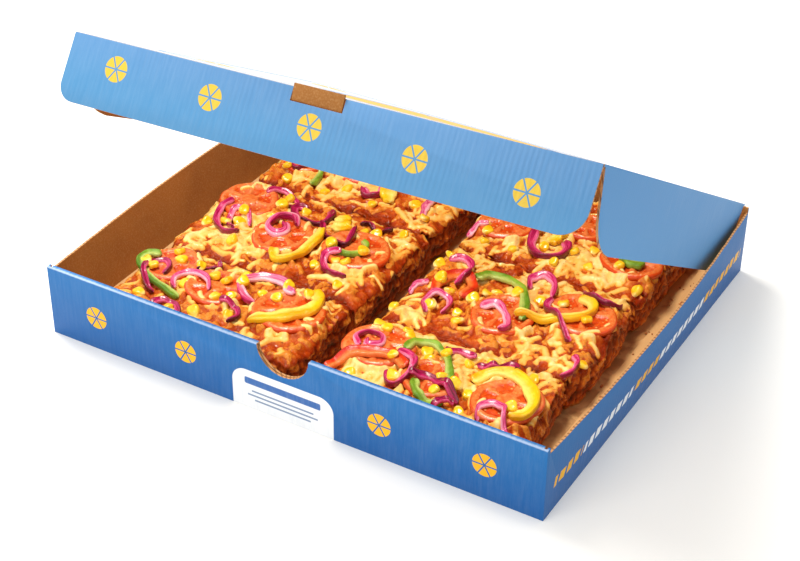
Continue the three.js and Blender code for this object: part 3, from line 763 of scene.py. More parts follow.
def lumps(x, y, size, seed):
    """Crowded round lumps about size millimetres across, 0 in the creases to 1 on top."""
    u, v = x / size, y / size
    iu, iv = cells_of(u, v)
    nearest = np.full_like(u, 9.0)
    for du in (-1, 0, 1):
        for dv in (-1, 0, 1):
            cu, cv = iu + du, iv + dv
            h = hashed(cu, cv, seed)
            px, py = cu + (h & 0xFFFF) / 65535.0, cv + ((h >> 16) & 0xFFFF) / 65535.0
            nearest = np.minimum(nearest, np.hypot(u - px, v - py))
    return np.clip(1 - nearest, 0, 1)


def thinned(x, y):
    """How much less cheese there is near the whole pizza's outline."""
    (x0, x1), (y0, y1) = PIZZA
    inset = np.minimum(np.minimum(x - x0, x1 - x), np.minimum(y - y0, y1 - y))
    return THINNER * smooth(1 - inset / OUTSKIRTS)


def cheese_maps():
    """Height, pale cheese, toasted cheese and relief over the whole pizza."""
    mx, my = GX - BOX_W / 2, GY - BOX_D / 2
    warp = value_noise(GX, GY, 9, 51, 2) * 7
    knobs = lumps(GX + warp, GY - warp, 6.5, 4) * 0.62 + lumps(GX, GY, 3.2, 9) * 0.38
    crags = (knobs - 0.45) * 3.4 + (value_noise(GX, GY, 11, 3, 3) - 0.5) * 3.0
    ridge, pale, toast_and_highlight = np.zeros_like(GX), np.zeros_like(GX), np.zeros_like(GX)
    patches = value_noise(GX, GY, 26, 8, 3)
    right_side = smooth((GX - INNER_EDGE + 9) / 6)
    front_row = smooth((FRONT_ROW - GY) / 8)
    patches = patches + right_side * (0.04 * front_row + 0.02) - (0.04 + 0.04 * front_row) * (1 - right_side)
    draw = np.random.default_rng(5)
    for (x0, x1), (y0, y1), _ in SLICES.values():
        for _ in range(int((x1 - x0) * (y1 - y0) / AREA_PER_SHRED)):
            x, y = draw.uniform(x0 + 1, x1 - 1), draw.uniform(y0 + 1, y1 - 1)
            patch = patches[int(y / CELL), int(x / CELL)] - thinned(x, y)
            turn, curl = draw.uniform(0, math.pi), draw.uniform(-0.6, 0.6)
            length, radius = draw.uniform(3, 15), draw.uniform(1.4, 2.8)
            lot, tone = draw.random(), draw.uniform(0.6, 1.0)
            if lot < 0.1 + 0.62 * smooth((patch - 0.46) / 0.14):
                lay_shred(ridge, pale, (x, y, turn, length, radius, radius, curl), tone)
            elif lot > 0.58:
                lay_shred(ridge, toast_and_highlight, (x, y, turn, length * 0.8, radius * 0.85, radius, curl), tone)
    fingers = value_noise(GX + warp, GY + warp, 10, 21, 3)
    melt = smooth((patches - 0.56 - thinned(GX, GY)) / 0.08) * smooth((fingers - 0.44) / 0.12)
    flow = np.maximum(melt, smooth((pale - 0.1) / 0.5))
    pale = np.maximum(pale, melt * 0.75)
    rim = np.zeros_like(GX)
    for (x0, x1), (y0, y1), seed in SLICES.values():
        inside = smooth((GX - x0 - 4) / 6) * smooth((x1 - 4 - GX) / 6)
        torn = smooth((value_noise(GX, GY, 13, seed, 3) - 0.4) / 0.14)
        rim = np.maximum(rim, inside * torn * smooth(1 - np.abs(GY - y1 + 2.6) / 3.6))
    pale = np.maximum(pale, rim * 0.8)
    top = SLICE_TOP - 0.9 + waves(mx, my) + crags * (1 - 0.8 * flow) + ridge * 0.95 + melt * 0.9 + rim * 1.1
    sagging = np.clip(1 - (GX - INNER_EDGE) / SAG_WIDE, 0, 1) ** 2 * (GX > INNER_EDGE - 7)
    top = top - SAG * sagging
    for index, (x, y, radius) in enumerate(TOMATOES):
        away = np.hypot(GX - x, GY - y) - radius
        wobble = (value_noise(GX, GY, 8, 40 + index, 2) - 0.5) * 4
        climb = smooth(1 - np.abs(away + wobble - 0.4) / 2.8) * 3.2
        top = top + np.where(away > -3.5, climb * smooth((away + 3.5) / 2.5), 0)
        pale = np.maximum(pale, 0.8 * smooth(1 - np.abs(away - 0.2) / 2.4) * smooth((wobble + 0.7) / 1.4))
        sunk = smooth((-away - 1.0) / 1.5)
        top = top * (1 - sunk) + (SLICE_TOP - 1.5) * sunk
        for _ in range(SHREDS_ON_A_TOMATO):
            turn = draw.uniform(0, TURN)
            reach = radius * draw.uniform(0.7, 1.1)
            over, mask = np.zeros_like(GX), np.zeros_like(GX)
            base = SLICE_TOP + TOMATO_THICK + 0.1
            base = base + (top - base) * smooth((away - 0.5) / 3.0)
            sx, sy = x + reach * math.cos(turn), y + reach * math.sin(turn)
            lay_shred(over, mask, (sx, sy, draw.uniform(0, math.pi), draw.uniform(4, 11),
                                   draw.uniform(1.5, 2.4), 1.7, 0.3))
            top = np.where(mask > 0.15, np.maximum(top, base - 0.5 + over), top)
            pale = np.maximum(pale, mask)
    return top, np.clip(pale, 0, 1), np.clip(toast_and_highlight, 0, 1), np.clip(crags / 5 + 0.5, 0, 1)


TOP_MAP, PALE_MAP, TOAST_MAP, CRAG_MAP = cheese_maps()


def sample(chart, x, y):
    """Bilinear reading of a map at millimetre places."""
    u = np.clip(np.asarray(x) / CELL - 0.5, 0, MAP_W - 1.001)
    v = np.clip(np.asarray(y) / CELL - 0.5, 0, MAP_D - 1.001)
    iu, iv = u.astype(int), v.astype(int)
    return bilinear(lambda a, b: chart[iv + b, iu + a], u - iu, v - iv)


# ---------------------------------------------------------------- food pieces


def positions(mesh):
    values = np.empty(len(mesh.vertices) * 3, dtype=np.float64)
    mesh.vertices.foreach_get("co", values)
    return values.reshape(-1, 3)


def set_positions(mesh, x, y, z):
    """Moves the vertices to millimetre places from the tray's front left corner."""
    places = np.stack([x - BOX_W / 2, y - BOX_D / 2, z], axis=1) * MM
    mesh.vertices.foreach_set("co", np.ascontiguousarray(places, dtype=np.float32).ravel())
    mesh.update()


def add_values(mesh, name, values):
    layer = mesh.attributes.new(name, "FLOAT", "POINT")
    layer.data.foreach_set("value", np.ascontiguousarray(values, dtype=np.float32))


LIT_UNDER_LID = bpy.data.collections.new("lit_under_lid")
LIT_UNDER_LID.objects.link(tray)


def finish_food(mesh, name, material, nodes=(), body="tray"):
    mesh.polygons.foreach_set("use_smooth", [True] * len(mesh.polygons))
    mesh.materials.append(material)
    piece = shown(name, mesh)
    LIT_UNDER_LID.objects.link(piece)
    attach(piece, body)
    if nodes:
        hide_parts(*nodes)


# ---------------------------------------------------------------- slices


def baked_top():
    """Baked pizza: brown-red craggy sauce, toasted shreds and pale melted cheese, with painted shade in the
    creases and on the sides and painted highlights on the crests.
    """
    material, tree = new_material("baked_cheese_and_crust")
    place = object_place(tree)
    pale, side = attribute_of(tree, "pale"), attribute_of(tree, "side")
    brown = browning(tree, place, scale=120.0, flecks=650.0)
    fine = noise_of(tree, place, 420.0, 4.0, 0.65)
    jitter = (fine - 0.5) * 0.35
    crest = attribute_of(tree, "crag") + jitter
    cover = pale + jitter * 0.6
    toast_and_highlight = (attribute_of(tree, "toast_and_highlight") + jitter).step(0.25, 0.5)
    # below marks the slices' sides, which take the darker crust: baked crust, and painted shade on the sides.
    below = side.step(0.01, 0.18) * (1.0 - toast_and_highlight)

    # Sauce and crust follow the crag height: darker in the low creases as painted shade, lighter on the
    # crests as painted highlight.
    sauce = crest.ramp((0.18, 82, 16, 4), (0.42, 146, 44, 8), (0.64, 196, 84, 20), (0.9, 234, 148, 56))
    sauce = (brown["patches"] * 0.45).mix(sauce, rgb(188, 54, 12))
    toast = fine.ramp((0.3, 200, 98, 24), (0.55, 228, 142, 48), (0.8, 243, 184, 86))
    cheese = cover.ramp((0.3, 210, 108, 26), (0.46, 237, 158, 56), (0.67, 249, 199, 98),
                        (0.93, 254, 224, 148))
    cheese = (brown["patches"].step(0.7, 1.0) * 0.45).mix(cheese, rgb(238, 168, 74))
    crust = crest.ramp((0.18, 74, 20, 6), (0.42, 142, 52, 14), (0.64, 198, 98, 30), (0.88, 238, 158, 70))
    dough = fine.mix(rgb(186, 110, 46), rgb(224, 164, 92))
    herbs = spots_of(tree, place, 210.0, 1.0, 0.09, 0.16) * noise_of(tree, place, 75.0, 2.0).step(0.5, 0.6)
    colour = toast_and_highlight.mix(sauce, toast)
    colour = below.mix(colour, crust)
    colour = cover.step(0.22, 0.42).mix(colour, cheese)
    colour = side.step(0.9, 0.98).mix(colour, dough)
    colour = (herbs * 0.6).mix(colour, rgb(92, 62, 16))

    rough = noise_of(tree, place, 190.0, 3.0, 0.6).step(0.35, 0.7) * 0.26 + 0.16 + below * 0.2
    bare = cover.math("SUBTRACT", 1.2, swapped=True, clamp=True)
    relief = (noise_of(tree, place, 1100.0, 3.0, 0.6) + fine * 1.2) * bare
    feed(tree, Base_Color=colour, Roughness=rough, Normal=bump_of(tree, relief, 0.0011, 0.55),
         Coat_Weight=0.34 - below * 0.28, Coat_Roughness=0.07, Specular_IOR_Level=0.35,
         Specular_Tint=(1.0, 0.72, 0.42, 1.0), Subsurface_Weight=0.12,
         Subsurface_Radius=(0.004, 0.002, 0.0008))
    return material


SIDE_HIGH = 27                   # of a slice, for the pattern on it
ABOVE_FLOOR = 0.35               # gap between a slice's foot and the card


def slice_mesh(name):
    """A thick slab whose top reads the cheese maps and whose ragged sides drop to the floor."""
    (x0, x1), (y0, y1), seed = SLICES[name]
    at_front, at_back = y0 < 20, y1 > 280
    step, rings = 0.9, 26
    columns, rows = round((x1 - x0) / step), round((y1 - y0) / step)
    shape = bmesh.new()
    bmesh.ops.create_grid(shape, x_segments=columns, y_segments=rows, size=1.0)
    level = shape.verts.layers.float.new("level")
    rim = [e for e in shape.edges if e.is_boundary]
    for ring in range(1, rings + 1):
        grown = bmesh.ops.extrude_edge_only(shape, edges=rim)["geom"]
        for vert in grown:
            if isinstance(vert, bmesh.types.BMVert):
                vert[level] = ring / rings
        rim = [e for e in grown if isinstance(e, bmesh.types.BMEdge) and e.is_boundary]
    bmesh.ops.contextual_create(shape, geom=rim)
    bmesh.ops.recalc_face_normals(shape, faces=shape.faces)
    mesh = mesh_of("slice_" + name, shape)

    flat = positions(mesh)
    a, b = flat[:, 0], flat[:, 1]
    down = np.empty(len(mesh.vertices), dtype=np.float32)
    mesh.attributes["level"].data.foreach_get("value", down)
    middle, half = ((x0 + x1) / 2, (y0 + y1) / 2), ((x1 - x0) / 2, (y1 - y0) / 2)
    pull = 1 - 0.045 * np.abs(a * b) ** 4
    edge = np.maximum(np.abs(a), np.abs(b))
    turn = np.arctan2(b * half[1], a * half[0])
    ragged = edge ** 6 * (0.8 * np.sin(5 * turn + seed) + 0.6 * np.sin(11 * turn + 2 * seed))
    px, py = middle[0] + a * half[0], middle[1] + b * half[1]
    girth = np.where(np.abs(a) > np.abs(b), py, px) + 400 * (np.abs(a) > np.abs(b))
    drop_mm = down * SIDE_HIGH
    sway = (value_noise(girth, drop_mm, 8, seed + 1, 2) - 0.5) * 6
    knobs = lumps(girth + sway, drop_mm * 1.15, 6.5, seed) * 0.55
    knobs = knobs + lumps(girth, drop_mm, 3.2, seed + 4) * 0.45
    folds = value_noise(girth * 0.6, drop_mm * 1.5 + sway, 8, seed + 5, 3)
    cut_end = np.abs(b) > np.abs(a)
    ends = 0.12 * cut_end
    drips = smooth((value_noise(girth + sway, drop_mm * 1.2 + sway, 8, seed + 2, 3) + ends - 0.51) / 0.12)
    drips = drips * (1 - smooth((down - 0.05 - 0.35 * folds) / 0.15))
    rough = (knobs - 0.5) * 2.8 + (folds - 0.5) * 4.6 + drips * 0.9
    belly = (0.4 + 0.8 * cut_end) * np.sin(np.pi * down)
    out = edge ** 10 * rough * smooth(down * 6 + 0.45) + edge ** 6 * belly
    out = out - 1.8 * smooth((down - 0.75) / 0.25)
    lean_x = np.sign(a) * np.abs(a) ** 7
    lean_y = np.sign(b) * np.abs(b) ** 7
    grown = np.where(b > 0, 0.5 if at_back else 2.3, -0.4 if at_front else 2.3)
    x = middle[0] + a * (half[0] * pull - 1.2) + np.sign(a) * ragged * np.abs(a) ** 4 + lean_x * out
    y = middle[1] + b * (half[1] * pull + grown) + np.sign(b) * ragged * np.abs(b) ** 4 + lean_y * out
    y = np.maximum(y, TUCKED_FLAP)

    reach_x = np.minimum(1, np.maximum(0, np.minimum(x - x0, x1 - x)) / (SHOULDER * 1.35))
    reach_y = np.minimum(1, np.maximum(0, np.minimum(y - y0, y1 - y)) / SHOULDER)
    drop = SHOULDER * 0.8 * np.minimum(1.2, (1 - reach_x) ** 2 + 0.28 * (1 - reach_y) ** 2)
    top = sample(TOP_MAP, x, y) - drop * (0.25 + 1.1 * value_noise(x, y, 12, seed + 3, 2))
    z = top * (1 - down) + (BOARD + ABOVE_FLOOR) * down
    z = z + 1.6 * (folds - 0.5) * np.sin(np.pi * down)
    set_positions(mesh, x, y, z)

    on_side = smooth(down * 12)

    def add_mixed(name, above, below):
        add_values(mesh, name, above * (1 - on_side) + below * on_side)

    pale = sample(PALE_MAP, x, y)
    fade = 1 - smooth((down - 0.05) / 0.3)
    # The crag value drops towards the slice's edges, so its top is darker there.
    darker_at_edges = 0.2 * np.maximum(1 - reach_x, 1 - reach_y) ** 2
    add_mixed("pale", pale, pale * fade * drips * 0.55)
    # On the sides this value also lightens the tops of the knobs: toasting, and a painted highlight.
    add_mixed("toast_and_highlight", sample(TOAST_MAP, x, y), drips * 0.5 + 0.3 * smooth((knobs - 0.62) / 0.15))
    add_mixed("crag", sample(CRAG_MAP, x, y) - darker_at_edges, np.clip(knobs * 0.9 + folds * 0.5 - 0.3, 0, 1))
    add_values(mesh, "side", down)
    return mesh


BAKED = baked_top()
for slice_name in SLICES:
    finish_food(slice_mesh(slice_name), "baked_slice_" + slice_name, BAKED,
                ["slice_" + slice_name])


# ---------------------------------------------------------------- tomatoes


def tomato_flesh():
    """Tomato: skin rim, grainy flesh, and darker jelly with seeds in the chambers."""
    material, tree = new_material("tomato_flesh")
    place = object_place(tree)
    chamber, rim = attribute_of(tree, "chamber"), attribute_of(tree, "rim")
    fine = noise_of(tree, place, 420.0, 4.0, 0.6)
    film_sheen = noise_of(tree, place, 70.0, 3.0, 0.5).step(0.5, 0.75)
    seeds = spots_of(tree, place, 300.0, 0.9, 0.16, 0.3) * chamber.step(0.5, 0.8)
    flesh = fine.ramp((0.3, 218, 90, 34), (0.55, 232, 126, 62), (0.8, 246, 170, 100))
    jelly = fine.ramp((0.3, 192, 50, 10), (0.6, 220, 84, 24), (0.85, 242, 142, 60))
    colour = chamber.step(0.25, 0.7).mix(flesh, jelly)
    colour = (seeds * 0.65).mix(colour, rgb(250, 196, 110))
    colour = rim.step(0.4, 0.9).mix(colour, rgb(218, 76, 24))
    # pale patches of a wet film: the lightening is a painted sheen.
    colour = (film_sheen * 0.35).mix(colour, rgb(246, 166, 100))
    feed(tree, Base_Color=colour, Roughness=film_sheen * 0.3 + 0.24, Coat_Weight=0.2, Coat_Roughness=0.15,
         Normal=bump_of(tree, fine + seeds * 0.8, 0.0008, 0.7))
    return material


DISC_RINGS, DISC_STEPS = 26, 72  # of a tomato slice's mesh, outwards and round


def tomato_mesh(name, x, y, radius, seed):
    """A round slice: skin rim, flesh wall, seed chambers and core, spun then pressed uneven."""
    shape = bmesh.new()
    start = shape.verts.new((0, 0, 1))
    bmesh.ops.extrude_vert_indiv(shape, verts=[start])
    shape.verts.ensure_lookup_table()
    shape.verts[1].co = (1, 0, 1)
    bmesh.ops.subdivide_edges(shape, edges=shape.edges[:], cuts=DISC_RINGS)
    rim = max(shape.verts, key=lambda v: v.co.x)
    for place in ((1.0, 0, 0.5), (0.97, 0, 0.0), (0, 0, 0.0)):
        rim = bmesh.ops.extrude_vert_indiv(shape, verts=[rim])["verts"][0]
        rim.co = place
    bmesh.ops.spin(shape, geom=shape.verts[:] + shape.edges[:], cent=(0, 0, 0), axis=(0, 0, 1),
                   angle=TURN, steps=DISC_STEPS, use_merge=True)
    bmesh.ops.remove_doubles(shape, verts=shape.verts, dist=1e-4)
    bmesh.ops.recalc_face_normals(shape, faces=shape.faces)
    mesh = mesh_of(name, shape)

    unit = positions(mesh)
    draw = np.random.default_rng(seed)
    far = np.hypot(unit[:, 0], unit[:, 1])
    turn = np.arctan2(unit[:, 1], unit[:, 0])
    lobes, phase = draw.integers(4, 7), draw.uniform(0, 6)
    wobble = 0.35 * np.sin(2 * turn + phase) + 0.2 * np.sin(3 * turn + 2 * phase)
    rib = np.abs(np.sin(lobes / 2 * turn + phase + wobble))
    chamber = smooth((rib - 0.32) / 0.25) * smooth((far - 0.26) / 0.1) * smooth((0.8 - far) / 0.08)
    upper = unit[:, 2] > 0.9
    oval = 1 + 0.05 * np.sin(2 * turn + phase) + 0.02 * np.sin(5 * turn + phase)
    px, py = x + unit[:, 0] * radius * oval, y + unit[:, 1] * radius * oval
    z = (SLICE_TOP + 0.6) + unit[:, 2] * TOMATO_THICK
    bumps = (value_noise(px, py, 5, seed + 60, 3) - 0.5) * 0.9
    bumps = bumps + (value_noise(px, py, 16, seed + 80, 2) - 0.5) * 1.4
    ring = np.exp(-((far - 0.88) / 0.05) ** 2) * 0.5
    z = z + np.where(upper, bumps + ring - chamber * 1.3 - 0.8 * smooth((far - 0.93) / 0.07), 0)
    set_positions(mesh, px, py, z)
    add_values(mesh, "chamber", np.where(upper, chamber, 0))
    add_values(mesh, "rim", smooth((far - 0.9) / 0.08) * (unit[:, 2] < 1.01))
    return mesh


TOMATO = tomato_flesh()
STACK = TOP_MAP.copy()
for number, (tx, ty, tr) in enumerate(TOMATOES, start=1):
    disc = tomato_mesh(f"tomato_slice_{number}", tx, ty, tr, number)
    finish_food(disc, f"tomato_slice_{number}", TOMATO, [f"tomato_{number}"])
    on_disc = np.hypot(GX - tx, GY - ty) < tr
    STACK[on_disc] = np.maximum(STACK[on_disc], SLICE_TOP + 0.4 + TOMATO_THICK)


# ---------------------------------------------------------------- strips of onion and pepper


def onion_skin():
    """Red onion: pink cut face between darker skins, tone making the whole strip darker, a little paler along
    the top as a painted highlight.
    """
    material, tree = new_material("red_onion")
    fine = noise_of(tree, object_place(tree), 420.0, 3.0, 0.6)
    veins = noise_of(tree, stretched(tree, sheet_place(tree), 3.0, 26.0), 2.2, 2.0) - 0.5
    depth = attribute_of(tree, "skin") * 0.5 + attribute_of(tree, "tone") * 0.5
    # The top (crown) is a little paler: the cut face, and a painted highlight.
    depth = depth + veins * 0.9 - attribute_of(tree, "crown") * 0.1
    colour = depth.ramp((0.08, 252, 204, 214), (0.28, 236, 120, 164), (0.48, 204, 36, 106),
                        (0.7, 146, 8, 64), (0.95, 66, 6, 26))
    feed(tree, Base_Color=colour, Roughness=0.24, Coat_Weight=0.35, Coat_Roughness=0.12,
         Normal=bump_of(tree, veins + fine, 0.0003, 0.5))
    return material


def pepper_skin(name, deep, bright, flesh):
    """Pepper: glossy skin on the outside of the ring, paler wet flesh on the cut face and inside."""
    material, tree = new_material(name)
    place = object_place(tree)
    fine = noise_of(tree, place, 320.0, 3.0, 0.6)
    skin = noise_of(tree, place, 60.0, 2.0, 0.5).step(0.35, 0.65).mix(deep, bright)
    outer = (attribute_of(tree, "skin") + fine * 0.3).step(0.45, 0.75)
    charred = noise_of(tree, place, 160.0, 4.0, 0.6).step(0.66, 0.76)
    colour = (charred * 0.4).mix(outer.mix(flesh, skin), rgb(150, 84, 20))
    wrinkles = noise_of(tree, stretched(tree, sheet_place(tree), 9.0, 26.0), 1.2, 3.0, 0.6, 0.8)
    feed(tree, Base_Color=colour, Roughness=fine * 0.25 + 0.2, Coat_Weight=0.25, Coat_Roughness=0.12,
         Normal=bump_of(tree, fine + wrinkles * 1.2, 0.0009, 0.6))
    return material


STRIP_LOOKS = {
    "onion": onion_skin(),
    "green_pepper": pepper_skin("green_pepper", rgb(88, 138, 26), rgb(140, 184, 48), rgb(186, 208, 104)),
    "yellow_pepper": pepper_skin("yellow_pepper", rgb(244, 176, 8), rgb(254, 210, 20), rgb(255, 228, 110)),
    "red_pepper": pepper_skin("red_pepper", rgb(198, 30, 10), rgb(232, 62, 20), rgb(244, 130, 60)),
}


def smooth_run(corners, count):
    """Points evenly along a Catmull-Rom curve through the corners."""
    knots = np.array(corners, dtype=float)
    knots = np.vstack([2 * knots[0] - knots[1], knots, 2 * knots[-1] - knots[-2]])
    dense = []
    for p0, p1, p2, p3 in zip(knots, knots[1:], knots[2:], knots[3:]):
        for t in np.linspace(0, 1, 24, endpoint=False):
            dense.append(0.5 * (2 * p1 + (p2 - p0) * t + (2 * p0 - 5 * p1 + 4 * p2 - p3) * t ** 2
                                + (3 * p1 - p0 - 3 * p2 + p3) * t ** 3))
    dense = np.array(dense + [knots[-2]])
    gone = np.concatenate([[0], np.cumsum(np.hypot(*np.diff(dense, axis=0).T))])
    wanted = np.linspace(0, gone[-1], count)
    return np.stack([np.interp(wanted, gone, dense[:, k]) for k in (0, 1)], axis=1), gone[-1]


def softened(heights, window=13):
    """A run of heights with its bumps spread over the points beside them."""
    weights = np.hanning(window) / np.hanning(window).sum()
    return np.convolve(np.pad(heights, window // 2, mode="edge"), weights, mode="valid")


SQUARED = 0.62                   # 1 would make a strip's section an oval, 0 a box


def strip_mesh(name, corners, width, height, tone, seed):
    """A soft strip laid over whatever is under it, cupped across and rounded at its ends."""
    along_count, around_count = 60, 24
    run, length = smooth_run(corners, along_count)
    pepper = "pepper" in name
    heading = np.gradient(run, axis=0)
    heading /= np.hypot(*heading.T)[:, None]
    beside = np.stack([-heading[:, 1], heading[:, 0]], axis=1)
    under = np.max([sample(STACK, *(run + beside * width * k).T) for k in (-0.35, 0, 0.35)], axis=0)
    rest = softened(np.maximum(softened(under), under - 1.0))
    centre = np.minimum(rest + height * 0.38, TOPPING_LIMIT - height / 2)

    shape = bmesh.new()
    bmesh.ops.create_grid(shape, x_segments=along_count - 1, y_segments=around_count, size=0.5)
    label_run(shape, lambda face: lambda p: (p.x + 0.5, p.y + 0.5))
    mesh = mesh_of(name, shape)

    unit = positions(mesh)
    u = unit[:, 0] + 0.5
    ring = np.round((unit[:, 1] + 0.5) * around_count) % around_count
    spot = u * (along_count - 1)
    round_it = ring / around_count * 2 * np.pi
    side, rise = np.cos(round_it), np.sin(round_it)
    taper = (1.0 if pepper else 2.0) * width / length
    past = np.clip(np.abs(u - 0.5) * 2 - (1 - taper), 0, taper) / taper
    ends = np.sqrt(1 - past ** 2)
    sway = 1 + 0.16 * np.sin(u * 9 + seed) + 0.1 * np.sin(u * 23 + 2 * seed)
    half_width = width / 2 * sway * (0.15 + 0.85 * ends)
    half_height = height / 2 * (0.2 + 0.8 * ends)
    across = np.sign(side) * np.abs(side) ** SQUARED
    up = np.sign(rise) * np.abs(rise) ** SQUARED * half_height
    bend = np.sign(np.cross(run[-1] - run[0], run[along_count // 2] - run[0]))
    fold = np.exp(-((across + 0.15 * bend) / (0.4 if pepper else 0.24)) ** 2) * np.clip(rise * 2, 0, 1) * ends
    up = up - (0.24 if pepper else 0.42) * height * fold
    up = up + (0.1 if pepper else 0.22) * height * across * bend * np.clip(rise * 2, 0, 1)
    at = lambda values: np.interp(spot, np.arange(along_count), values)
    x = at(run[:, 0]) + at(beside[:, 0]) * across * half_width
    y = at(run[:, 1]) + at(beside[:, 1]) * across * half_width
    z = at(centre) + up + (1.3 if pepper else 0.7) * (value_noise(x, y, 5, seed + 7, 3) - 0.5)
    z = z + 0.5 * np.sin(u * 8 + seed) * (not pepper)
    set_positions(mesh, x, y, z)
    # tone rises towards the tapered ends and in the groove along the top; in the groove this darkening is
    # painted shade.
    add_values(mesh, "tone", tone + 0.2 * past + 0.35 * fold)
    add_values(mesh, "crown", np.clip(rise, 0, 1) ** 2)
    add_values(mesh, "skin", 0.5 + 0.5 * bend * side)

    shape = bmesh.new()
    shape.from_mesh(mesh)
    bmesh.ops.remove_doubles(shape, verts=shape.verts, dist=2e-6)
    bmesh.ops.holes_fill(shape, edges=[e for e in shape.edges if e.is_boundary], sides=0)
    bmesh.ops.recalc_face_normals(shape, faces=shape.faces)
    shape.to_mesh(mesh)
    shape.free()

    for (px, py), top in zip(run, centre + height / 2):
        x0, x1 = int((px - width / 2) / CELL), int((px + width / 2) / CELL) + 1
        y0, y1 = int((py - width / 2) / CELL), int((py + width / 2) / CELL) + 1
        STACK[y0:y1, x0:x1] = np.maximum(STACK[y0:y1, x0:x1], top - 0.6)
    return mesh


for number, (strip_name, (corners, width, height, tone)) in enumerate(STRIPS.items()):
    kind = strip_name.rsplit("_", 1)[0]
    strip = strip_mesh(strip_name + "_strip", corners, width, height, tone, number)
    finish_food(strip, strip_name + "_strip", STRIP_LOOKS[kind], [strip_name])


# The thin curls are one mesh, each laid in turn over what is there already.
curls = (strip_mesh("curl", corners, CURL_WIDE, CURL_HIGH, tone, number)
         for number, (corners, tone) in enumerate(CURLS))
finish_food(joined("onion_curls", curls), "onion_curls", STRIP_LOOKS["onion"])


# ---------------------------------------------------------------- sweetcorn and crumbs


def corn_skin():
    """Sweetcorn: uneven yellow, paler at the tip."""
    material, tree = new_material("sweetcorn_skin")
    fine = noise_of(tree, object_place(tree), 230.0)
    colour = fine.ramp((0.3, 250, 184, 10), (0.55, 255, 212, 40), (0.8, 255, 228, 88))
    colour = attribute_of(tree, "tip").step(0.7, 1.0).mix(colour, rgb(255, 232, 140))
    feed(tree, Base_Color=colour, Roughness=0.22, Normal=bump_of(tree, fine, 0.0006, 0.5), Coat_Weight=0.35,
         Coat_Roughness=0.12, Subsurface_Weight=0.15, Subsurface_Radius=(0.004, 0.003, 0.001))
    return material


def kernel_mesh():
    """One kernel, 1 unit long: a blunt squarish crown with flattened sides, narrowing to its tip."""
    shape = bmesh.new()
    bmesh.ops.create_icosphere(shape, subdivisions=4, radius=0.5)
    squared = lambda value, power: math.copysign(abs(value * 2) ** power / 2, value)
    for vert in shape.verts:
        x, y, z = squared(vert.co.x, 0.75), squared(vert.co.y, 0.6), squared(vert.co.z, 0.65)
        taper = 0.5 + 0.5 * math.sin(min((x + 0.5) * 1.25, 1.0) * math.pi / 2)
        dimple = math.exp(-((y / 0.22) ** 2 + ((x - 0.2) / 0.25) ** 2))
        vert.co = (x, y * taper * 0.92, z * taper * 0.62 - 0.07 * dimple * math.copysign(1, z))
    return mesh_of("kernel", shape)


def joined_copies(name, source, placings, label=None):
    """One mesh of many copies of source, each under its own matrix; label keeps 1 - x as a value."""
    def placed(placing):
        copy = source.copy()
        copy.transform(placing)
        return copy

    mesh = joined(name, map(placed, placings))
    if label:
        add_values(mesh, label, np.tile(0.5 - positions(source)[:, 0], len(placings)))
    return mesh


def random_turn(draw, **ranges):
    """Turns about the named axes in their order, each by an angle drawn from its range."""
    turn = Matrix.Identity(4)
    for axis, (low, high) in ranges.items():
        turn = turn @ Matrix.Rotation(draw.uniform(low, high), 4, axis)
    return turn


def in_a_slice(x, y, margin):
    return any(x0 + margin < x < x1 - margin and y0 + margin < y < y1 - margin
               for (x0, x1), (y0, y1), _ in SLICES.values())


MORE_KERNELS, KERNELS_APART = 46, 8
CRUMBS = 90


def scatter_corn():
    """The kernels in their known places and some more, each on what lies under it."""
    draw = np.random.default_rng(12)
    spots = list(CORN)
    while len(spots) < len(CORN) + MORE_KERNELS:
        x, y = draw.uniform(24, 322), draw.uniform(18, 282)
        clear = all(math.hypot(x - px, y - py) > KERNELS_APART for px, py in spots)
        if in_a_slice(x, y, 6) and clear:
            spots.append((x, y))
    placings = []
    for x, y in spots:
        size = draw.uniform(7.0, 9.3)
        z = float(np.mean(sample(STACK, [x, x + 2, x - 2, x], [y, y + 2, y - 2, y]))) + size * 0.09
        turn = random_turn(draw, Z=(0, TURN), Y=(-0.5, 0.5), X=(-0.7, 0.7))
        place = Matrix.Translation(corner_to_frame(x, y, min(z, KERNEL_LIMIT)))
        placings.append(place @ turn @ Matrix.Scale(size * MM, 4))
    return joined_copies("sweetcorn", kernel_mesh(), placings, "tip")


finish_food(scatter_corn(), "sweetcorn", corn_skin())


def scatter_crumbs():
    """Baked crumbs on the card round the slices and in the cuts."""
    draw = np.random.default_rng(31)
    shape = bmesh.new()
    bmesh.ops.create_icosphere(shape, subdivisions=2, radius=0.5)
    for vert in shape.verts:
        vert.co *= 0.7 + 0.6 * float(draw.random())
    crumb = mesh_of("crumb", shape)
    placings = []
    while len(placings) < CRUMBS:
        x, y = draw.uniform(12, 336), draw.uniform(8, 289)
        if not in_a_slice(x, y, -1.5):
            size = draw.uniform(0.7, 2.4)
            turn = random_turn(draw, Z=(0, 6), X=(0, 6))
            squash = Matrix.Diagonal((size * MM, size * MM * 0.8, size * MM * 0.6, 1))
            placings.append(Matrix.Translation(corner_to_frame(x, y, BOARD + size * 0.28)) @ turn @ squash)
    return joined_copies("crumbs", crumb, placings)


def crumb_look():
    material, tree = new_material("baked_crumb")
    fine = noise_of(tree, object_place(tree), 300.0)
    colour = fine.ramp((0.3, 120, 56, 20), (0.6, 190, 116, 50), (0.8, 236, 190, 110))
    feed(tree, Base_Color=colour, Roughness=0.6, Normal=bump_of(tree, fine, 0.0004, 0.6))
    return material


finish_food(scatter_crumbs(), "crumbs", crumb_look())


# ---------------------------------------------------------------- floor, light and camera


FLOOR_HALF, FLOOR_GLOW = 6.0, 0.14
BACKDROP_LIGHT, BACKDROP_SEEN = 0.75, 0.25


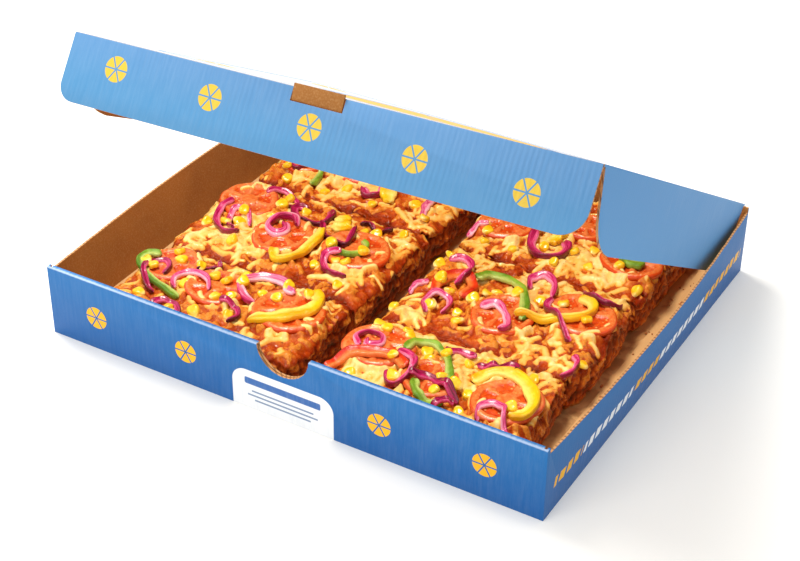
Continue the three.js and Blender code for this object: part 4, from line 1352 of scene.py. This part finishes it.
def pale_floor():
    """A wide plain floor, slightly lit from within so that it stays near white."""
    shape = bmesh.new()
    bmesh.ops.create_grid(shape, x_segments=1, y_segments=1, size=FLOOR_HALF)
    material, tree = new_material("pale_studio_floor")
    colour = noise_of(tree, object_place(tree), 3.0, 2.0).mix(rgb(247, 244, 237), rgb(251, 248, 241))
    feed(tree, Base_Color=colour, Roughness=0.9, Emission_Color=(1, 1, 1, 1), Emission_Strength=FLOOR_GLOW)
    mesh = mesh_of("studio_floor", shape)
    mesh.materials.append(material)
    floor = shown("studio_floor", mesh)
    return floor


def lamp(name, place, target, energy, size, colour=(1, 1, 1), lights=None, shaded_by=None):
    """A square softbox; lights and shaded_by are collections that limit what it reaches and what stops it."""
    light = bpy.data.lights.new(name, "AREA")
    light.energy = energy
    light.size = size
    light.color = colour
    piece = shown(name, light)
    piece.location = place
    piece.rotation_euler = (Vector(target) - Vector(place)).to_track_quat("-Z", "Y").to_euler()
    piece.light_linking.receiver_collection = lights
    piece.light_linking.blocker_collection = shaded_by


LIT_BY_WINDOW = bpy.data.collections.new("lit_by_window")
for lit in (pale_floor(), tray, lid, front_flap):
    LIT_BY_WINDOW.objects.link(lit)
lamp("window_key", (-0.85, 0.3, 1.4), (0, 0, 0), 24, 0.75, (1.0, 0.98, 0.95), LIT_BY_WINDOW)
lamp("front_fill", (-0.4, -1.5, 0.9), (0, 0, 0.05), 10, 1.0)
lamp("food_softbox", (-0.16, -0.12, 1.3), (0, 0, 0), 15.5, 0.28, (1.0, 0.955, 0.85),
     LIT_UNDER_LID, LIT_UNDER_LID)

world = bpy.data.worlds.new("studio")
world.use_nodes = True
sky = world.node_tree
backdrop = sky.nodes["Background"].inputs
seen = Value(sky, put(sky, "ShaderNodeLightPath").outputs["Is Camera Ray"])
connect(sky, backdrop["Color"], (1, 1, 1, 1))
connect(sky, backdrop["Strength"], seen * BACKDROP_SEEN + BACKDROP_LIGHT)
bpy.context.scene.world = world
bpy.context.scene.view_settings.view_transform = "Standard"

# The camera, from the box's front left corner: bearing, height above the horizon, roll and distance.
BEARING, RISE, ROLL = math.radians(30.344), math.radians(33.728), math.radians(0.589)
DISTANCE, FOCAL_PIXELS, IMAGE_WIDTH, SENSOR_WIDTH = 1164.6, 1733.71, 800, 36
AIM = corner_to_frame(158.8, 166.3)
back = Vector((math.sin(BEARING) * math.cos(RISE), -math.cos(BEARING) * math.cos(RISE), math.sin(RISE)))
level = Vector((math.cos(BEARING), math.sin(BEARING), 0))
upright = back.cross(level)
right = math.cos(ROLL) * level + math.sin(ROLL) * upright
up = -math.sin(ROLL) * level + math.cos(ROLL) * upright
eye = AIM + back * DISTANCE * MM
lens = bpy.data.cameras.new("camera")
lens.sensor_width = SENSOR_WIDTH
lens.lens = FOCAL_PIXELS * SENSOR_WIDTH / IMAGE_WIDTH
lens.clip_start = 0.01
camera = shown("camera", lens)
camera.matrix_world = Matrix((
    (right.x, up.x, back.x, eye.x),
    (right.y, up.y, back.y, eye.y),
    (right.z, up.z, back.z, eye.z),
    (0, 0, 0, 1),
))
bpy.context.scene.camera = camera
